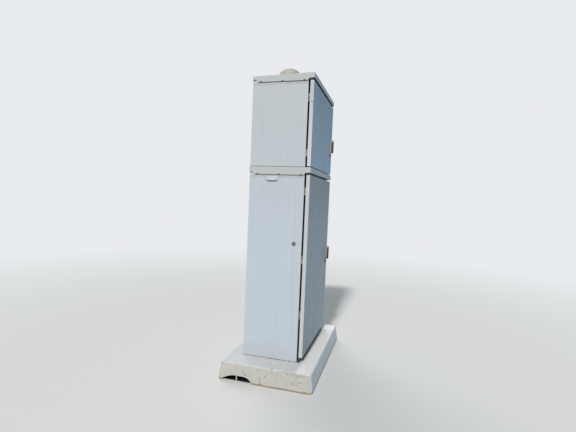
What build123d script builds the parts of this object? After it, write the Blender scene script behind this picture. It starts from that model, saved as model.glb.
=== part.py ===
"""Roadside traffic signal controller cabinet on a precast concrete plinth.

The door side faces -Y and its hinges are at the -X edge. The origin is at the middle of the
plinth's underside, +Z is up, and sizes are in millimetres.
"""

import math
import os

from build123d import *

os.makedirs("parts", exist_ok=True)

# Cabinet, outside
cabinet_width = 780.0
cabinet_depth = 424.0
lower_height = 1274.0
band_height = 36.0
upper_height = 582.0
roof_height = 35.0
roof_fall = 11.4
sheet = 2.5
fold_radius = 3.0
overcut = 1.0
canopy_overhang = 4.5
canopy_end_overhang = 3.0
flap_drop = 16.0
flap_back_inset = 39.0
flap_front_reach = 8.0
flap_slant = 20.0

# Doors and their frames
door_setback = 37.0
door_return = 25.0
door_gap = 8.0
door_head_gap = 14.0
lower_door_foot_gap = 36.0
frame_flange = 30.0
opening_margin = 27.5
gasket_thickness = 10.0
gasket_width = 14.0
soft_clearance = 0.3
stiffener_width = 60.0
stiffener_depth = 14.0
stiffener_edge_distance = 240.0
return_hole_diameter = 4.0
return_hole_rise = 429.0
return_hole_back = 10.0

# Hinges
hinge_length = 50.0
hinge_knuckle_diameter = 9.4
hinge_pin_diameter = 5.0
hinge_axis_inset = 5.0
hinge_axis_back = 29.2
hinge_leaf_width = 25.0
hinge_leaf_thickness = 2.6
hinge_web_thickness = 3.6
door_leaf_thickness = 3.5
door_leaf_reach = 22.0
lower_hinge_rises = (321.0, 692.0)
lower_top_hinge_drop = 121.0
upper_hinge_rises = (96.0,)
upper_top_hinge_drop = 123.5
running_clearance = 0.05
turning_gap = 0.3

# Handles and bolt work
handle_edge_distance = 65.0
lower_handle_height = 708.0
upper_handle_height = 279.0
plate_length = 116.0
plate_width = 34.0
plate_thickness = 12.0
plate_rim = 3.0
plate_recess = 6.0
plate_chamfer = 1.0
boss_diameter = 26.0
boss_rise = 13.0
spindle_diameter = 12.0
cheek_thickness = 3.6
cheek_width = 12.0
cheek_gap = 0.4
pivot_pin_diameter = 5.0
pivot_rise = 21.5
grip_width = 20.0
grip_thickness = 10.0
grip_eye_diameter = 13.0
grip_reach = 96.0
grip_tail = 9.0
grip_edge = 1.5
grip_tail_clearance = 2.0
cam_thickness = 3.0
cam_clearance = 0.5
cam_diameter = 46.0
tongue_length = 48.0
tongue_width = 20.0
drive_radius = 16.0
drive_angle = 45.0
drive_pin_diameter = 6.0
drive_pin_play = 0.7
drive_pin_proud = 1.0
rod_width = 16.0
rod_thickness = 5.0
rod_inner_edge = 6.5
rod_foot = 5.0
rod_tip_clearance = 6.0
guide_height = 16.0
guide_wall = 2.5
guide_back = 4.0
guide_near = 165.0
guide_far = 60.0

# Key locks
lock_flange_diameter = 30.0
lock_flange_thickness = 3.0
lock_body_diameter = 19.0
lock_body_length = 24.0
lock_barrel_diameter = 14.0
lock_proud = 1.0
lock_nut_height = 4.0
lock_chamfer = 1.0
keyway_width = 2.0
keyway_length = 8.0
keyway_depth = 6.0
lock_arm_length = 24.0
lock_arm_width = 10.0
lock_drop = 1.0
side_lock_from_front = 91.0
side_lock_height = 798.0

# Vent hood on the side wall
hood_width = 95.0
hood_height = 25.0
hood_depth = 13.0
hood_brow = 3.0
hood_sheet = 1.5
hood_below_band = 30.0
hood_from_back = 162.0
hood_flange_height = 6.0
vent_slot_count = 8
vent_slot_width = 5.0
vent_slot_height = 12.0
vent_slot_drop = 9.0

# Canopy screws and bolts
screw_head_diameter = 10.0
screw_head_height = 3.5
screw_diameter = 5.0
screw_length = 14.0
screw_from_back = 57.0
screw_from_front = 65.0
screw_rise = 7.0
bolt_diameter = 10.0
bolt_head = 7.0
bolt_head_across = 17.0
bolt_end_proud = 3.5
housing_bolt_inset = 55.0
top_flange_width = 70.0
cable_hole_diameter = 60.0
cable_hole_edge_distance = 140.0
cable_hole_from_back = 112.0

# Roof dome
dome_diameter = 152.0
dome_height = 64.0
dome_base = 9.0
dome_edge_distance = 95.0
dome_from_back = 230.0
dome_stud_diameter = 20.0
dome_stud_length = 16.0
dome_nut_across = 30.0
dome_nut_height = 8.0

# Plinth
plinth_left_margin = 153.0
plinth_right_margin = 105.0
plinth_side_margin = 95.0
plinth_height = 117.0
plinth_taper = 17.0
plinth_corner_radius = 14.0
plinth_edge_radius = 10.0
chamber_end_margin = 110.0
chamber_side_margin = 92.0
arch_span = 195.0
arch_rise = 38.0
arch_from_back = 116.0
packer_diameter = 9.0
packer_inset = 16.0
anchor_diameter = 12.0
anchor_inset_x = 55.0
anchor_inset_y = 60.0
anchor_embedded = 85.0
anchor_proud = 24.0
anchor_washer_diameter = 28.0
anchor_washer_thickness = 2.5
anchor_nut_across = 19.0
anchor_nut_height = 10.0

# Floor and cable glands
floor_opening_end_margin = 30.0
floor_opening_side_margin = 20.0
gland_plate_overlap = 20.0
gland_plate_thickness = 3.0
gland_pitch = 76.0
gland_thread_diameter = 25.0
gland_bore_diameter = 14.0
gland_nut_across = 32.0
gland_nut_height = 9.0
gland_cap_height = 16.0
gland_cap_step = 2.0
gland_thread_length = 10.0

# Back plate, rack frame and rack units
back_plate_side_gap = 40.0
back_plate_thickness = 3.0
back_plate_standoff = 16.5
back_plate_bottom = 60.0
back_plate_top_gap = 44.0
rack_unit_height = 44.45
rack_panel_width = 482.6
rack_hole_spacing = 465.1
rack_hole_diameter = 6.0
rack_upright_width = 20.0
rack_upright_depth = 40.0
rack_sheet = 2.5
rack_front_back = 152.0
rack_foot_height = 60.0
rack_head_height = 50.0
rack_top_drop = 50.0
rack_arm_height = 40.0
unit_case_inset = 23.3
unit_back_gap = 80.0
unit_panel_thickness = 3.0
unit_panel_gap = 0.8
unit_case_gap = 1.0
unit_handle_diameter = 8.0
unit_handle_reach = 26.0
card_depth = 2.0
card_margin = 12.0
supply_slot_margin = 48.0

# Rack contents in rack units, counted down from the top of the rack
fan_units = 1
controller_units = 6
detector_units = 3
supply_units = 2
switch_units = 3
controller_cards = 14
detector_cards = 8

# Switch panel
breaker_count = 3
breaker_width = 26.0
breaker_height = 70.0
breaker_depth = 50.0
breaker_pitch = 40.0
breaker_first_offset = 30.0
breaker_nose = 6.0
breaker_flange = 2.0
toggle_diameter = 14.0
toggle_width = 12.0
toggle_lever = 14.0
toggle_lever_thickness = 5.0
toggle_angle = 30.0
toggle_clearance = 0.3
toggle_axle_diameter = 4.0
toggle_sink = 3.0
switch_body_width = 62.0
switch_body_depth = 55.0
switch_offset = -110.0
knob_diameter = 40.0
knob_height = 10.0
knob_chamfer = 1.5
knob_bar_width = 10.0
knob_bar_height = 14.0
knob_bar_inset = 2.0
knob_shaft_diameter = 8.0

# Fan
fan_size = 120.0
fan_height = 25.0
fan_bore_diameter = 112.0
fan_hub_diameter = 38.0
fan_blade_clearance = 2.0
fan_blade_count = 7
fan_blade_angle = 32.0
fan_blade_thickness = 1.6
fan_blade_height = 19.1
fan_strut_width = 6.0
fan_strut_thickness = 3.0
fan_shaft_diameter = 6.0
fan_cup_wall = 3.0

# Terminals and ducts
terminal_rows = 3
terminal_row_pitch = 84.0
terminal_first = 130.0
terminal_duct_gap = 30.0
terminal_height = 50.0
terminal_depth = 44.0
terminal_pitch = 10.0
terminal_notch_width = 1.2
terminal_notch_depth = 9.0
terminal_ledge_height = 12.5
rail_height = 35.0
rail_depth = 7.5
rail_overhang = 10.0
duct_width = 50.0
duct_depth = 60.0
duct_wall = 2.0
duct_slot_pitch = 25.0
duct_slot_width = 7.0
duct_slot_margin = 8.0
duct_lid = 3.0
duct_edge_distance = 45.0

# Upper cabinet contents and door pocket
shelf_drop = 284.0
shelf_depth = 250.0
shelf_edge = 20.0
supply_length = 380.0
supply_depth = 200.0
supply_height = 170.0
supply_edge_radius = 4.0
modem_length = 220.0
modem_depth = 140.0
modem_height = 44.0
fin_count = 12
fin_depth = 4.0
pocket_stiffener_gap = 50.0
pocket_rod_gap = 112.5
pocket_height = 180.0
pocket_depth = 24.0
pocket_rise = 760.0
pocket_sheet = 1.5
pocket_back_rise = 45.0

# Planes and heights that follow from the sizes above
plinth_length = cabinet_width + plinth_left_margin + plinth_right_margin
plinth_width = cabinet_depth + 2 * plinth_side_margin
centre = (plinth_left_margin - plinth_right_margin) / 2
left = centre - cabinet_width / 2
right = centre + cabinet_width / 2
door_face = -cabinet_depth / 2
door_inside = door_face + sheet
frame_face = door_face + door_setback
frame_back = frame_face + sheet
back = cabinet_depth / 2
back_inside = back - sheet
lip_face = door_inside + gasket_thickness + soft_clearance
ground = plinth_height
band_bottom = ground + lower_height
band_top = band_bottom + band_height
roof_bottom = band_top + upper_height
roof_top = roof_bottom + roof_height
lower_top = band_top - sheet
canopy_front = door_face - canopy_end_overhang
canopy_back = back + canopy_end_overhang
roof_angle = math.degrees(math.atan(roof_fall / (canopy_back - canopy_front)))
lower_door_span = (ground + lower_door_foot_gap, band_bottom - door_head_gap)
upper_door_span = (band_top + door_gap, roof_bottom - door_head_gap)
hinge_x = left + hinge_axis_inset
hinge_y = door_face + hinge_axis_back
handle_x = right - handle_edge_distance
stiffener_x = left + stiffener_edge_distance
arch_centre = plinth_width / 2 - arch_from_back
hood_centre = back - hood_from_back
side_lock_y = door_face + side_lock_from_front
chamber_length = cabinet_width - 2 * chamber_end_margin
chamber_width = cabinet_depth - 2 * chamber_side_margin
floor_opening_length = chamber_length - 2 * floor_opening_end_margin
floor_opening_width = chamber_width - 2 * floor_opening_side_margin
back_plate_width = cabinet_width - 2 * back_plate_side_gap
back_plate_top = lower_height - back_plate_top_gap
plate_face = back_inside - back_plate_standoff - back_plate_thickness
rack_units = fan_units + controller_units + detector_units + supply_units + switch_units
rack_top = back_plate_top - rack_top_drop
rack_first_unit = rack_top - rack_head_height
rack_bottom = rack_first_unit - rack_units * rack_unit_height - rack_foot_height
rack_face = door_face + rack_front_back
unit_depth = plate_face - rack_face - unit_back_gap
unit_body_width = rack_panel_width - 2 * unit_case_inset
duct_offset = back_plate_width / 2 - duct_edge_distance
terminal_length = 2 * (duct_offset - duct_width / 2 - terminal_duct_gap)


def block(x0, x1, y0, y1, z0, z1):
    """Box between two corners."""
    return Pos((x0 + x1) / 2, (y0 + y1) / 2, (z0 + z1) / 2) * Box(x1 - x0, y1 - y0, z1 - z0)


def lidded_block(x0, x1, y0, y1, low, lid):
    """Box under a lid, which is the height of its top as a function of y."""
    side = Polyline((y0, low), (y1, low), (y1, lid(y1)), (y0, lid(y0)), close=True)
    return Pos(x0, 0, 0) * extrude(Plane.YZ * make_face(side), x1 - x0)


def level(height):
    """A lid that is flat."""
    return lambda y: height


def roof_lid(depth):
    """A lid parallel to the roof, which falls to the back, and so far below its upper face."""
    fall = roof_fall / (canopy_back - canopy_front)
    return lambda y: roof_top - depth - fall * (y - canopy_front)


def upright_cylinder(x, y, z0, z1, diameter):
    """Cylinder along Z between two heights."""
    return Pos(x, y, (z0 + z1) / 2) * Cylinder(diameter / 2, z1 - z0)


def tube(x, y, z0, z1, outer, inner):
    """Upright tube."""
    return upright_cylinder(x, y, z0, z1, outer) - upright_cylinder(x, y, z0, z1, inner)


def hexagon(x, y, z0, z1, across):
    """Upright hexagonal prism, given its width across the flats."""
    flat = RegularPolygon(across / 2, 6, major_radius=False)
    return Pos(x, y, z0) * extrude(flat, z1 - z0)


def on_door(x, z):
    """Carries a shape drawn upright onto the door: its +Z points out of the door, its +Y up."""
    return Pos(x, door_face, z) * Rot(90, 0, 0)


def on_side(y, z):
    """Carries a shape drawn upright onto the side wall: its +Z points out of the wall."""
    return Pos(left, y, z) * Rot(0, -90, 0)


def save(name, *solids):
    """Writes one node, as one solid or as a group of separate ones."""
    shape = solids[0] if len(solids) == 1 else Compound(children=list(solids))
    export_step(shape, f"parts/{name}.step")


def plinth():
    """Tapered block with rounded edges, a cable chamber through it and an arch at one end."""
    slope = math.degrees(math.atan(plinth_taper / plinth_height))
    foot = Rectangle(plinth_length + 2 * plinth_taper, plinth_width + 2 * plinth_taper)
    body = extrude(foot, plinth_height, taper=slope)
    upright_edges = body.edges().filter_by(lambda e: abs(e.tangent_at(0).Z) > 0.5)
    body = fillet(upright_edges, plinth_corner_radius)
    body = fillet(body.faces().sort_by(Axis.Z)[-1].edges(), plinth_edge_radius)
    chamber_x = centre - chamber_length / 2
    body -= block(
        chamber_x, centre + chamber_length / 2, -chamber_width / 2, chamber_width / 2,
        -overcut, plinth_height + overcut,
    )
    radius = (arch_span**2 / 4 + arch_rise**2) / (2 * arch_rise)
    reach = chamber_x + plinth_length / 2 + 2 * plinth_taper
    tunnel = Pos(0, 0, reach / 2 - plinth_length / 2 - 2 * plinth_taper) * Cylinder(radius, reach)
    body -= Pos(0, arch_centre, arch_rise - radius) * Rot(0, 90, 0) * tunnel
    for x, y in anchor_places():
        body -= upright_cylinder(x, y, ground - anchor_embedded, ground + overcut, anchor_diameter)
    return body


def anchor_places():
    """The four corners of the anchor bolt pattern."""
    x = cabinet_width / 2 - anchor_inset_x
    y = cabinet_depth / 2 - anchor_inset_y
    return [(centre + i * x, j * y) for i in (-1, 1) for j in (-1, 1)]


def anchor_parts():
    """Cast-in studs, with a washer and a nut on each."""
    parts = []
    floor_top = ground + sheet
    washer_top = floor_top + anchor_washer_thickness
    for x, y in anchor_places():
        stud = upright_cylinder(
            x, y, ground - anchor_embedded, ground + anchor_proud, anchor_diameter
        )
        washer = tube(x, y, floor_top, washer_top, anchor_washer_diameter, anchor_diameter)
        nut = hexagon(x, y, washer_top, washer_top + anchor_nut_height, anchor_nut_across)
        nut -= upright_cylinder(x, y, ground, ground + 2 * anchor_proud, anchor_diameter)
        parts += [stud, washer, nut]
    return parts


def housing(bottom, lid, underside, door_span):
    """Folded box: side walls, back, floor, top flange, and a door frame with a rain lip."""
    outer = lidded_block(left, right, frame_face, back, bottom, lid)
    outer = fillet(outer.edges().filter_by(Axis.Z), fold_radius)
    shell = outer - lidded_block(
        left + sheet, right - sheet, frame_back, back_inside, bottom + sheet, underside
    )
    low, high = door_span[0] + opening_margin, door_span[1] - opening_margin
    lip = block(
        left + frame_flange - sheet, right - frame_flange + sheet, lip_face, frame_back,
        low - sheet, high + sheet,
    )
    doorway = block(
        left + frame_flange, right - frame_flange, lip_face - overcut, frame_back, low, high
    )
    top_opening = block(
        left + top_flange_width, right - top_flange_width, frame_back + housing_bolt_inset,
        back_inside - housing_bolt_inset, underside(back) - sheet, lid(frame_face) + overcut,
    )
    return shell + lip - doorway - top_opening


def housing_sheets(body, bottom):
    """The sheets that a housing is welded from: sides, back, door frame, floor and top flange."""
    x0, x1 = left + fold_radius, right - fold_radius
    floor_top = bottom + sheet
    return [
        body & block(left, x0, lip_face, back, bottom, roof_top),
        body & block(x1, right, lip_face, back, bottom, roof_top),
        body & block(x0, x1, back_inside, back, bottom, roof_top),
        body & block(x0, x1, lip_face, frame_back, bottom, roof_top),
        body & block(x0, x1, frame_back, back_inside, bottom, floor_top),
        body & block(x0, x1, frame_back, back_inside, floor_top, roof_top),
    ]


def housing_bolt_places():
    """Where the bolts pass that join the upper housing to the lower one."""
    x = cabinet_width / 2 - housing_bolt_inset
    y_front = frame_back + housing_bolt_inset / 2
    y_back = back_inside - housing_bolt_inset / 2
    return [(centre + i * x, y) for i in (-1, 1) for y in (y_front, y_back)]


def lower_housing():
    """The lower housing with its floor opening, vent slots, lock hole and fixing holes."""
    body = housing(ground, level(lower_top), level(lower_top - sheet), lower_door_span)
    body -= block(
        centre - floor_opening_length / 2, centre + floor_opening_length / 2,
        -floor_opening_width / 2, floor_opening_width / 2, ground - overcut, ground + 2 * sheet,
    )
    for x, y in anchor_places():
        body -= upright_cylinder(x, y, ground - overcut, ground + 2 * sheet, anchor_diameter)
    for x, y in housing_bolt_places():
        body -= upright_cylinder(x, y, lower_top - 2 * sheet, lower_top + overcut, bolt_diameter)
    slot_top = band_bottom - hood_below_band - vent_slot_drop
    pitch = (hood_width - 2 * hood_sheet) / (vent_slot_count + 1)
    for i in range(vent_slot_count):
        y = hood_centre + (i - (vent_slot_count - 1) / 2) * pitch
        body -= block(
            left - overcut, left + 2 * sheet, y - vent_slot_width / 2, y + vent_slot_width / 2,
            slot_top - vent_slot_height, slot_top,
        )
    lock_hole = Pos(0, 0, -sheet) * Cylinder(lock_body_diameter / 2, 4 * sheet)
    body -= on_side(side_lock_y, ground + side_lock_height) * lock_hole
    return housing_sheets(body - screw_holes(band_bottom), ground)


def upper_housing():
    """The upper housing, with its cable hole and the bolt holes in its floor."""
    body = housing(band_top, roof_lid(sheet), roof_lid(2 * sheet), upper_door_span)
    for x, y in housing_bolt_places():
        body -= upright_cylinder(x, y, band_top - overcut, band_top + 2 * sheet, bolt_diameter)
    body -= cable_hole() + screw_holes(roof_bottom)
    return housing_sheets(body, band_top)


def cable_hole():
    """The hole for cables between the two housings."""
    return upright_cylinder(
        right - cable_hole_edge_distance, back - cable_hole_from_back, band_top - 2 * sheet,
        band_top + 2 * sheet, cable_hole_diameter,
    )


def screw_places(skirt_bottom):
    """Axis points of the three screws along each side's flap."""
    z = skirt_bottom - flap_drop + screw_rise
    rear, front = back - screw_from_back, door_face + screw_from_front
    return [(y, z) for y in (rear, (rear + front) / 2, front)]


def screw_holes(skirt_bottom):
    """Cylinders through both side walls for the flap screws."""
    reach = cabinet_width + 4 * canopy_overhang
    drills = [
        Pos(centre, y, z) * Rot(0, 90, 0) * Cylinder(screw_diameter / 2, reach)
        for y, z in screw_places(skirt_bottom)
    ]
    return drills[0] + drills[1] + drills[2]


def screws():
    """Dome-headed screws through the flaps into the side walls."""
    parts = []
    cap_radius = (screw_head_diameter**2 / 4 + screw_head_height**2) / (2 * screw_head_height)
    cap = Pos(0, 0, screw_head_height - cap_radius) * Sphere(cap_radius)
    head = cap & Pos(0, 0, screw_head_height / 2) * Cylinder(
        screw_head_diameter / 2, screw_head_height
    )
    screw = head + Pos(0, 0, -screw_length / 2) * Cylinder(screw_diameter / 2, screw_length)
    for skirt_bottom in (band_bottom, roof_bottom):
        for y, z in screw_places(skirt_bottom):
            near = Pos(left - canopy_overhang, y, z) * Rot(0, -90, 0)
            far = Pos(right + canopy_overhang, y, z) * Rot(0, 90, 0)
            parts += [near * screw, far * screw]
    return parts


def canopy(skirt_bottom, lid, underside):
    """Folded cover: a top, a skirt all round and a flap with slanted ends down each side."""
    x0, x1 = left - canopy_overhang, right + canopy_overhang
    y0, y1 = canopy_front, canopy_back
    outer = lidded_block(x0, x1, y0, y1, skirt_bottom, lid)
    outer = fillet(outer.edges().filter_by(Axis.Z), fold_radius)
    outer = fillet(outer.faces().sort_by(Axis.Z)[-1].edges(), fold_radius / 2)
    cover = outer - lidded_block(
        x0 + sheet, x1 - sheet, y0 + sheet, y1 - sheet, skirt_bottom - overcut, underside
    )
    low = skirt_bottom - flap_drop
    front = frame_face - flap_front_reach
    rear = back - flap_back_inset
    outline = Polyline(
        (rear + flap_slant, skirt_bottom), (rear, low), (front + flap_slant, low),
        (front, skirt_bottom), (front, skirt_bottom + 2 * sheet),
        (rear + flap_slant, skirt_bottom + 2 * sheet), close=True,
    )
    flap = extrude(Plane.YZ * make_face(outline), sheet)
    cover += Pos(x0, 0, 0) * flap
    cover += Pos(x1 - sheet, 0, 0) * flap
    return cover - screw_holes(skirt_bottom)


def canopy_sheets(body, skirt_bottom, underside):
    """The sheets that a canopy is welded from: the top, two ends, and front and back skirts."""
    x0, x1 = left - canopy_overhang, right + canopy_overhang
    x2, x3 = x0 + fold_radius, x1 - fold_radius
    low = skirt_bottom - 2 * flap_drop
    spans = [
        (x0, x2, canopy_front, canopy_back), (x3, x1, canopy_front, canopy_back),
        (x2, x3, canopy_front, canopy_front + sheet), (x2, x3, canopy_back - sheet, canopy_back),
    ]
    sides = [body & lidded_block(*span, low, underside) for span in spans]
    return [body - lidded_block(x0, x1, canopy_front, canopy_back, low, underside), *sides]


def middle_canopy():
    """The lower housing's roof, with holes for the joining bolts and the cables."""
    body = canopy(band_bottom, level(band_top), level(lower_top))
    for x, y in housing_bolt_places():
        body -= upright_cylinder(x, y, lower_top - overcut, band_top + overcut, bolt_diameter)
    return canopy_sheets(body - cable_hole(), band_bottom, level(lower_top))


def on_roof():
    """Carries a shape drawn upright at the origin to the dome's place, square to the roof."""
    y = back - dome_from_back
    return Pos(left + dome_edge_distance, y, roof_lid(0)(y)) * Rot(-roof_angle, 0, 0)


def roof_canopy():
    """The roof, with the hole for the dome's stud."""
    stud = upright_cylinder(0, 0, -2 * sheet, overcut, dome_stud_diameter)
    body = canopy(roof_bottom, roof_lid(0), roof_lid(sheet)) - on_roof() * stud
    return canopy_sheets(body, roof_bottom, roof_lid(sheet))


def roof_dome():
    """Low dome turned about its own axis, with a stud through the roof."""
    radius = dome_diameter / 2
    rim = Line((radius, 0), (radius, dome_base))
    middle_x, middle_z = radius * math.cos(math.pi / 4), math.sin(math.pi / 4)
    crown = Spline(
        (radius, dome_base),
        (middle_x, dome_base + (dome_height - dome_base) * middle_z),
        (0, dome_height),
        tangents=[(0, 1), (-1, 0)],
    )
    profile = make_face([rim, crown, Line((0, dome_height), (0, 0)), Line((0, 0), (radius, 0))])
    body = revolve(Plane.XZ * profile, Axis.Z)
    return on_roof() * (body + upright_cylinder(0, 0, -dome_stud_length, 0, dome_stud_diameter))


def dome_nut():
    """Nut under the roof that holds the dome."""
    nut = hexagon(0, 0, -sheet - dome_nut_height, -sheet, dome_nut_across)
    nut -= upright_cylinder(0, 0, -2 * dome_nut_height, 0, dome_stud_diameter)
    return on_roof() * nut


def housing_bolts():
    """Bolts and nuts that clamp the upper floor, the canopy and the lower top flange."""
    parts = []
    head_low = band_top + sheet
    nut_high = lower_top - sheet
    for x, y in housing_bolt_places():
        bolt = hexagon(x, y, head_low, head_low + bolt_head, bolt_head_across)
        shank_low = nut_high - bolt_head - bolt_end_proud
        bolt += upright_cylinder(x, y, shank_low, head_low, bolt_diameter)
        nut = hexagon(x, y, nut_high - bolt_head, nut_high, bolt_head_across)
        nut -= upright_cylinder(x, y, nut_high - 2 * bolt_head, nut_high + overcut, bolt_diameter)
        parts += [bolt, nut]
    return parts


def vent_hood():
    """Rain hood that bulges from its brow to its foot, open underneath, with a flange above."""
    top = band_bottom - hood_below_band
    low = top - hood_height
    half = hood_width / 2

    def bulge(inset):
        depth, chord = hood_depth - inset, half - inset
        radius = (chord**2 + depth**2) / (2 * depth)
        drum = Pos(left - depth + radius, hood_centre, low) * Cylinder(radius, 4 * hood_height)
        outline = Polyline(
            (left, top - inset), (left - hood_brow + inset, top - inset),
            (left - depth, low - inset), (left, low - inset), close=True,
        )
        slope = Pos(0, hood_centre + half, 0) * extrude(Plane.XZ * make_face(outline), hood_width)
        return drum & slope

    flange = block(
        left - hood_sheet, left, hood_centre - half, hood_centre + half,
        top - hood_sheet, top + hood_flange_height,
    )
    return bulge(0) - bulge(hood_sheet) + flange


def door(span, handle_z):
    """Door sheet and its four returns, with the stiffener and rod guides welded to it."""
    low, high = span
    outer = block(left, right, door_face, door_face + door_return, low, high)
    outer = fillet(outer.faces().sort_by(Axis.Y)[0].edges(), fold_radius)
    pan = outer - block(
        left + sheet, right - sheet, door_inside, door_face + door_return + overcut,
        low + sheet, high - sheet,
    )
    x = stiffener_x
    reach = 2 * opening_margin
    hat = block(
        x - stiffener_width / 2, x + stiffener_width / 2, door_inside,
        door_inside + stiffener_depth, low + reach, high - reach,
    )
    hat -= block(
        x - stiffener_width / 2 + sheet, x + stiffener_width / 2 - sheet, door_inside,
        door_inside + stiffener_depth - sheet, low + reach - overcut, high - reach + overcut,
    )
    guides = [rod_guide(side, z) for side, z in guide_places(span, handle_z)]
    spindle_hole = Cylinder(spindle_diameter / 2 + running_clearance, 4 * sheet)
    pan -= on_door(handle_x, handle_z) * spindle_hole
    lock_hole = Cylinder(lock_body_diameter / 2, 4 * sheet)
    pan -= on_door(handle_x, handle_z - key_lock_below()) * lock_hole
    fold, edge = door_face + fold_radius, door_face + door_return
    return [
        pan & block(left, right, door_face, fold, low, high),
        pan & block(left, left + sheet, fold, edge, low, high),
        pan & block(right - sheet, right, fold, edge, low, high),
        pan & block(left + sheet, right - sheet, fold, edge, low, low + sheet),
        pan & block(left + sheet, right - sheet, fold, edge, high - sheet, high),
        hat, *guides,
    ]


def return_hole():
    """Small hole through the hinge-side return of the upper door."""
    y, z = door_face + return_hole_back, band_top + return_hole_rise
    return Pos(left, y, z) * Rot(0, 90, 0) * Cylinder(return_hole_diameter / 2, 4 * sheet)


def key_lock_below():
    """How far the key lock's axis lies below the handle's spindle."""
    return plate_length - plate_width / 2 + lock_drop + lock_flange_diameter / 2


def guide_places(span, handle_z):
    """Side (-1 is the upward rod) and height of every rod guide."""
    far = opening_margin + guide_far
    places = [(-1, span[1] - far), (1, span[0] + far)]
    if span[1] - far - handle_z > guide_near + guide_far / 2:
        places.append((-1, handle_z + guide_near))
    if handle_z - span[0] - far > guide_near + guide_far / 2:
        places.append((1, handle_z - guide_near))
    return places


def rod_depths():
    """Front and back faces of the lock rods, along Y."""
    front = frame_back + cam_clearance + cam_thickness + turning_gap
    return front, front + rod_thickness


def rod_edges(side):
    """Left and right edges of the rod on one side of the spindle."""
    near, far = side * rod_inner_edge, side * (rod_inner_edge + rod_width)
    return handle_x + min(near, far), handle_x + max(near, far)


def rod_guide(side, z):
    """Bridge on two legs, slotted for a lock rod to slide through."""
    x0, x1 = rod_edges(side)
    front, rear = rod_depths()
    play = turning_gap
    z0, z1 = z - guide_height / 2, z + guide_height / 2
    wall = guide_wall + play
    guide = block(x0 - wall, x1 + wall, door_inside, rear + guide_back, z0, z1)
    guide -= block(
        x0 - play, x1 + play, door_inside, front - guide_back, z0 - overcut, z1 + overcut
    )
    return guide - block(
        x0 - play, x1 + play, front - play, rear + play, z0 - overcut, z1 + overcut
    )


def lock_rod(side, handle_z, tip):
    """Flat rod with a cross slot at its foot for the cam's drive pin, drawn back at rest."""
    x0, x1 = rod_edges(side)
    front, rear = rod_depths()
    pin_x = side * drive_radius * math.cos(math.radians(drive_angle))
    pin_z = handle_z + side * drive_radius * math.sin(math.radians(drive_angle))
    half_slot = drive_pin_diameter / 2 + drive_pin_play
    foot = pin_z + side * (half_slot + rod_foot)
    rod = block(x0, x1, front, rear, min(foot, tip), max(foot, tip))
    inner, outer = sorted((pin_x, side * drive_radius))
    slot = block(
        handle_x + inner - half_slot, handle_x + outer + half_slot, front - overcut, rear + overcut,
        pin_z - half_slot, pin_z + half_slot,
    )
    return rod - slot


def gasket(span):
    """Foam ring on the door that meets the frame's lip."""
    low, high = span[0] + opening_margin, span[1] - opening_margin
    reach = (gasket_width - sheet) / 2
    x0, x1 = left + frame_flange, right - frame_flange
    y0, y1 = door_inside, lip_face - soft_clearance
    outer_reach = reach + sheet
    outer = block(x0 - outer_reach, x1 + outer_reach, y0, y1, low - outer_reach, high + outer_reach)
    return outer - block(
        x0 + reach, x1 - reach, y0 - overcut, y1 + overcut, low + reach, high - reach
    )


def hinge_spots():
    """Middle height of every hinge, lower door first."""
    lower = [ground + z for z in lower_hinge_rises] + [band_bottom - lower_top_hinge_drop]
    upper = [band_top + z for z in upper_hinge_rises] + [roof_bottom - upper_top_hinge_drop]
    return lower, upper


def frame_hinge(z):
    """Leaf on the frame with the lower knuckle."""
    low, split = z - hinge_length / 2, z - turning_gap / 2
    leaf = block(
        hinge_x, left + hinge_leaf_width, frame_face - hinge_leaf_thickness, frame_face,
        low, z + hinge_length / 2,
    )
    web_half = hinge_web_thickness / 2
    leaf += block(hinge_x - web_half, hinge_x + web_half, hinge_y, frame_face, low, split)
    leaf += upright_cylinder(hinge_x, hinge_y, low, split, hinge_knuckle_diameter)
    return leaf - upright_cylinder(
        hinge_x, hinge_y, low - overcut, z + hinge_length, hinge_pin_diameter
    )


def door_hinge(z):
    """Leaf inside the door's return with the upper knuckle."""
    low, high = z + turning_gap / 2, z + hinge_length / 2
    x0 = left + sheet
    leaf = block(
        x0, x0 + door_leaf_thickness, hinge_y - door_leaf_reach, hinge_y, low, high
    )
    leaf += upright_cylinder(hinge_x, hinge_y, low, high, hinge_knuckle_diameter)
    bore = hinge_pin_diameter + 2 * running_clearance
    return leaf - upright_cylinder(hinge_x, hinge_y, z, high + overcut, bore)


def hinge_pin(z):
    """Straight pin as long as its hinge."""
    half = hinge_length / 2
    return upright_cylinder(hinge_x, hinge_y, z - half, z + half, hinge_pin_diameter)


def slot_outline(width, length):
    """Upright outline with round ends, its upper arc centred on the spindle."""
    return Pos(0, (width - length) / 2, 0) * SlotOverall(length, width, rotation=90)


def handle_plate():
    """Long plate with round ends and a shallow dish, bored for the spindle."""
    plate = extrude(slot_outline(plate_width, plate_length), plate_thickness)
    plate = chamfer(plate.faces().sort_by(Axis.Z)[-1].edges(), plate_chamfer)
    dish = slot_outline(plate_width - 2 * plate_rim, plate_length - 2 * plate_rim)
    floor = plate_thickness - plate_recess
    plate -= Pos(0, 0, floor) * extrude(dish, plate_recess + overcut)
    return plate - Cylinder(spindle_diameter / 2 + running_clearance, 3 * plate_thickness)


def cam_depth():
    """How far behind the door's face the cam's back lies."""
    return door_setback + sheet + cam_clearance + cam_thickness


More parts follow.
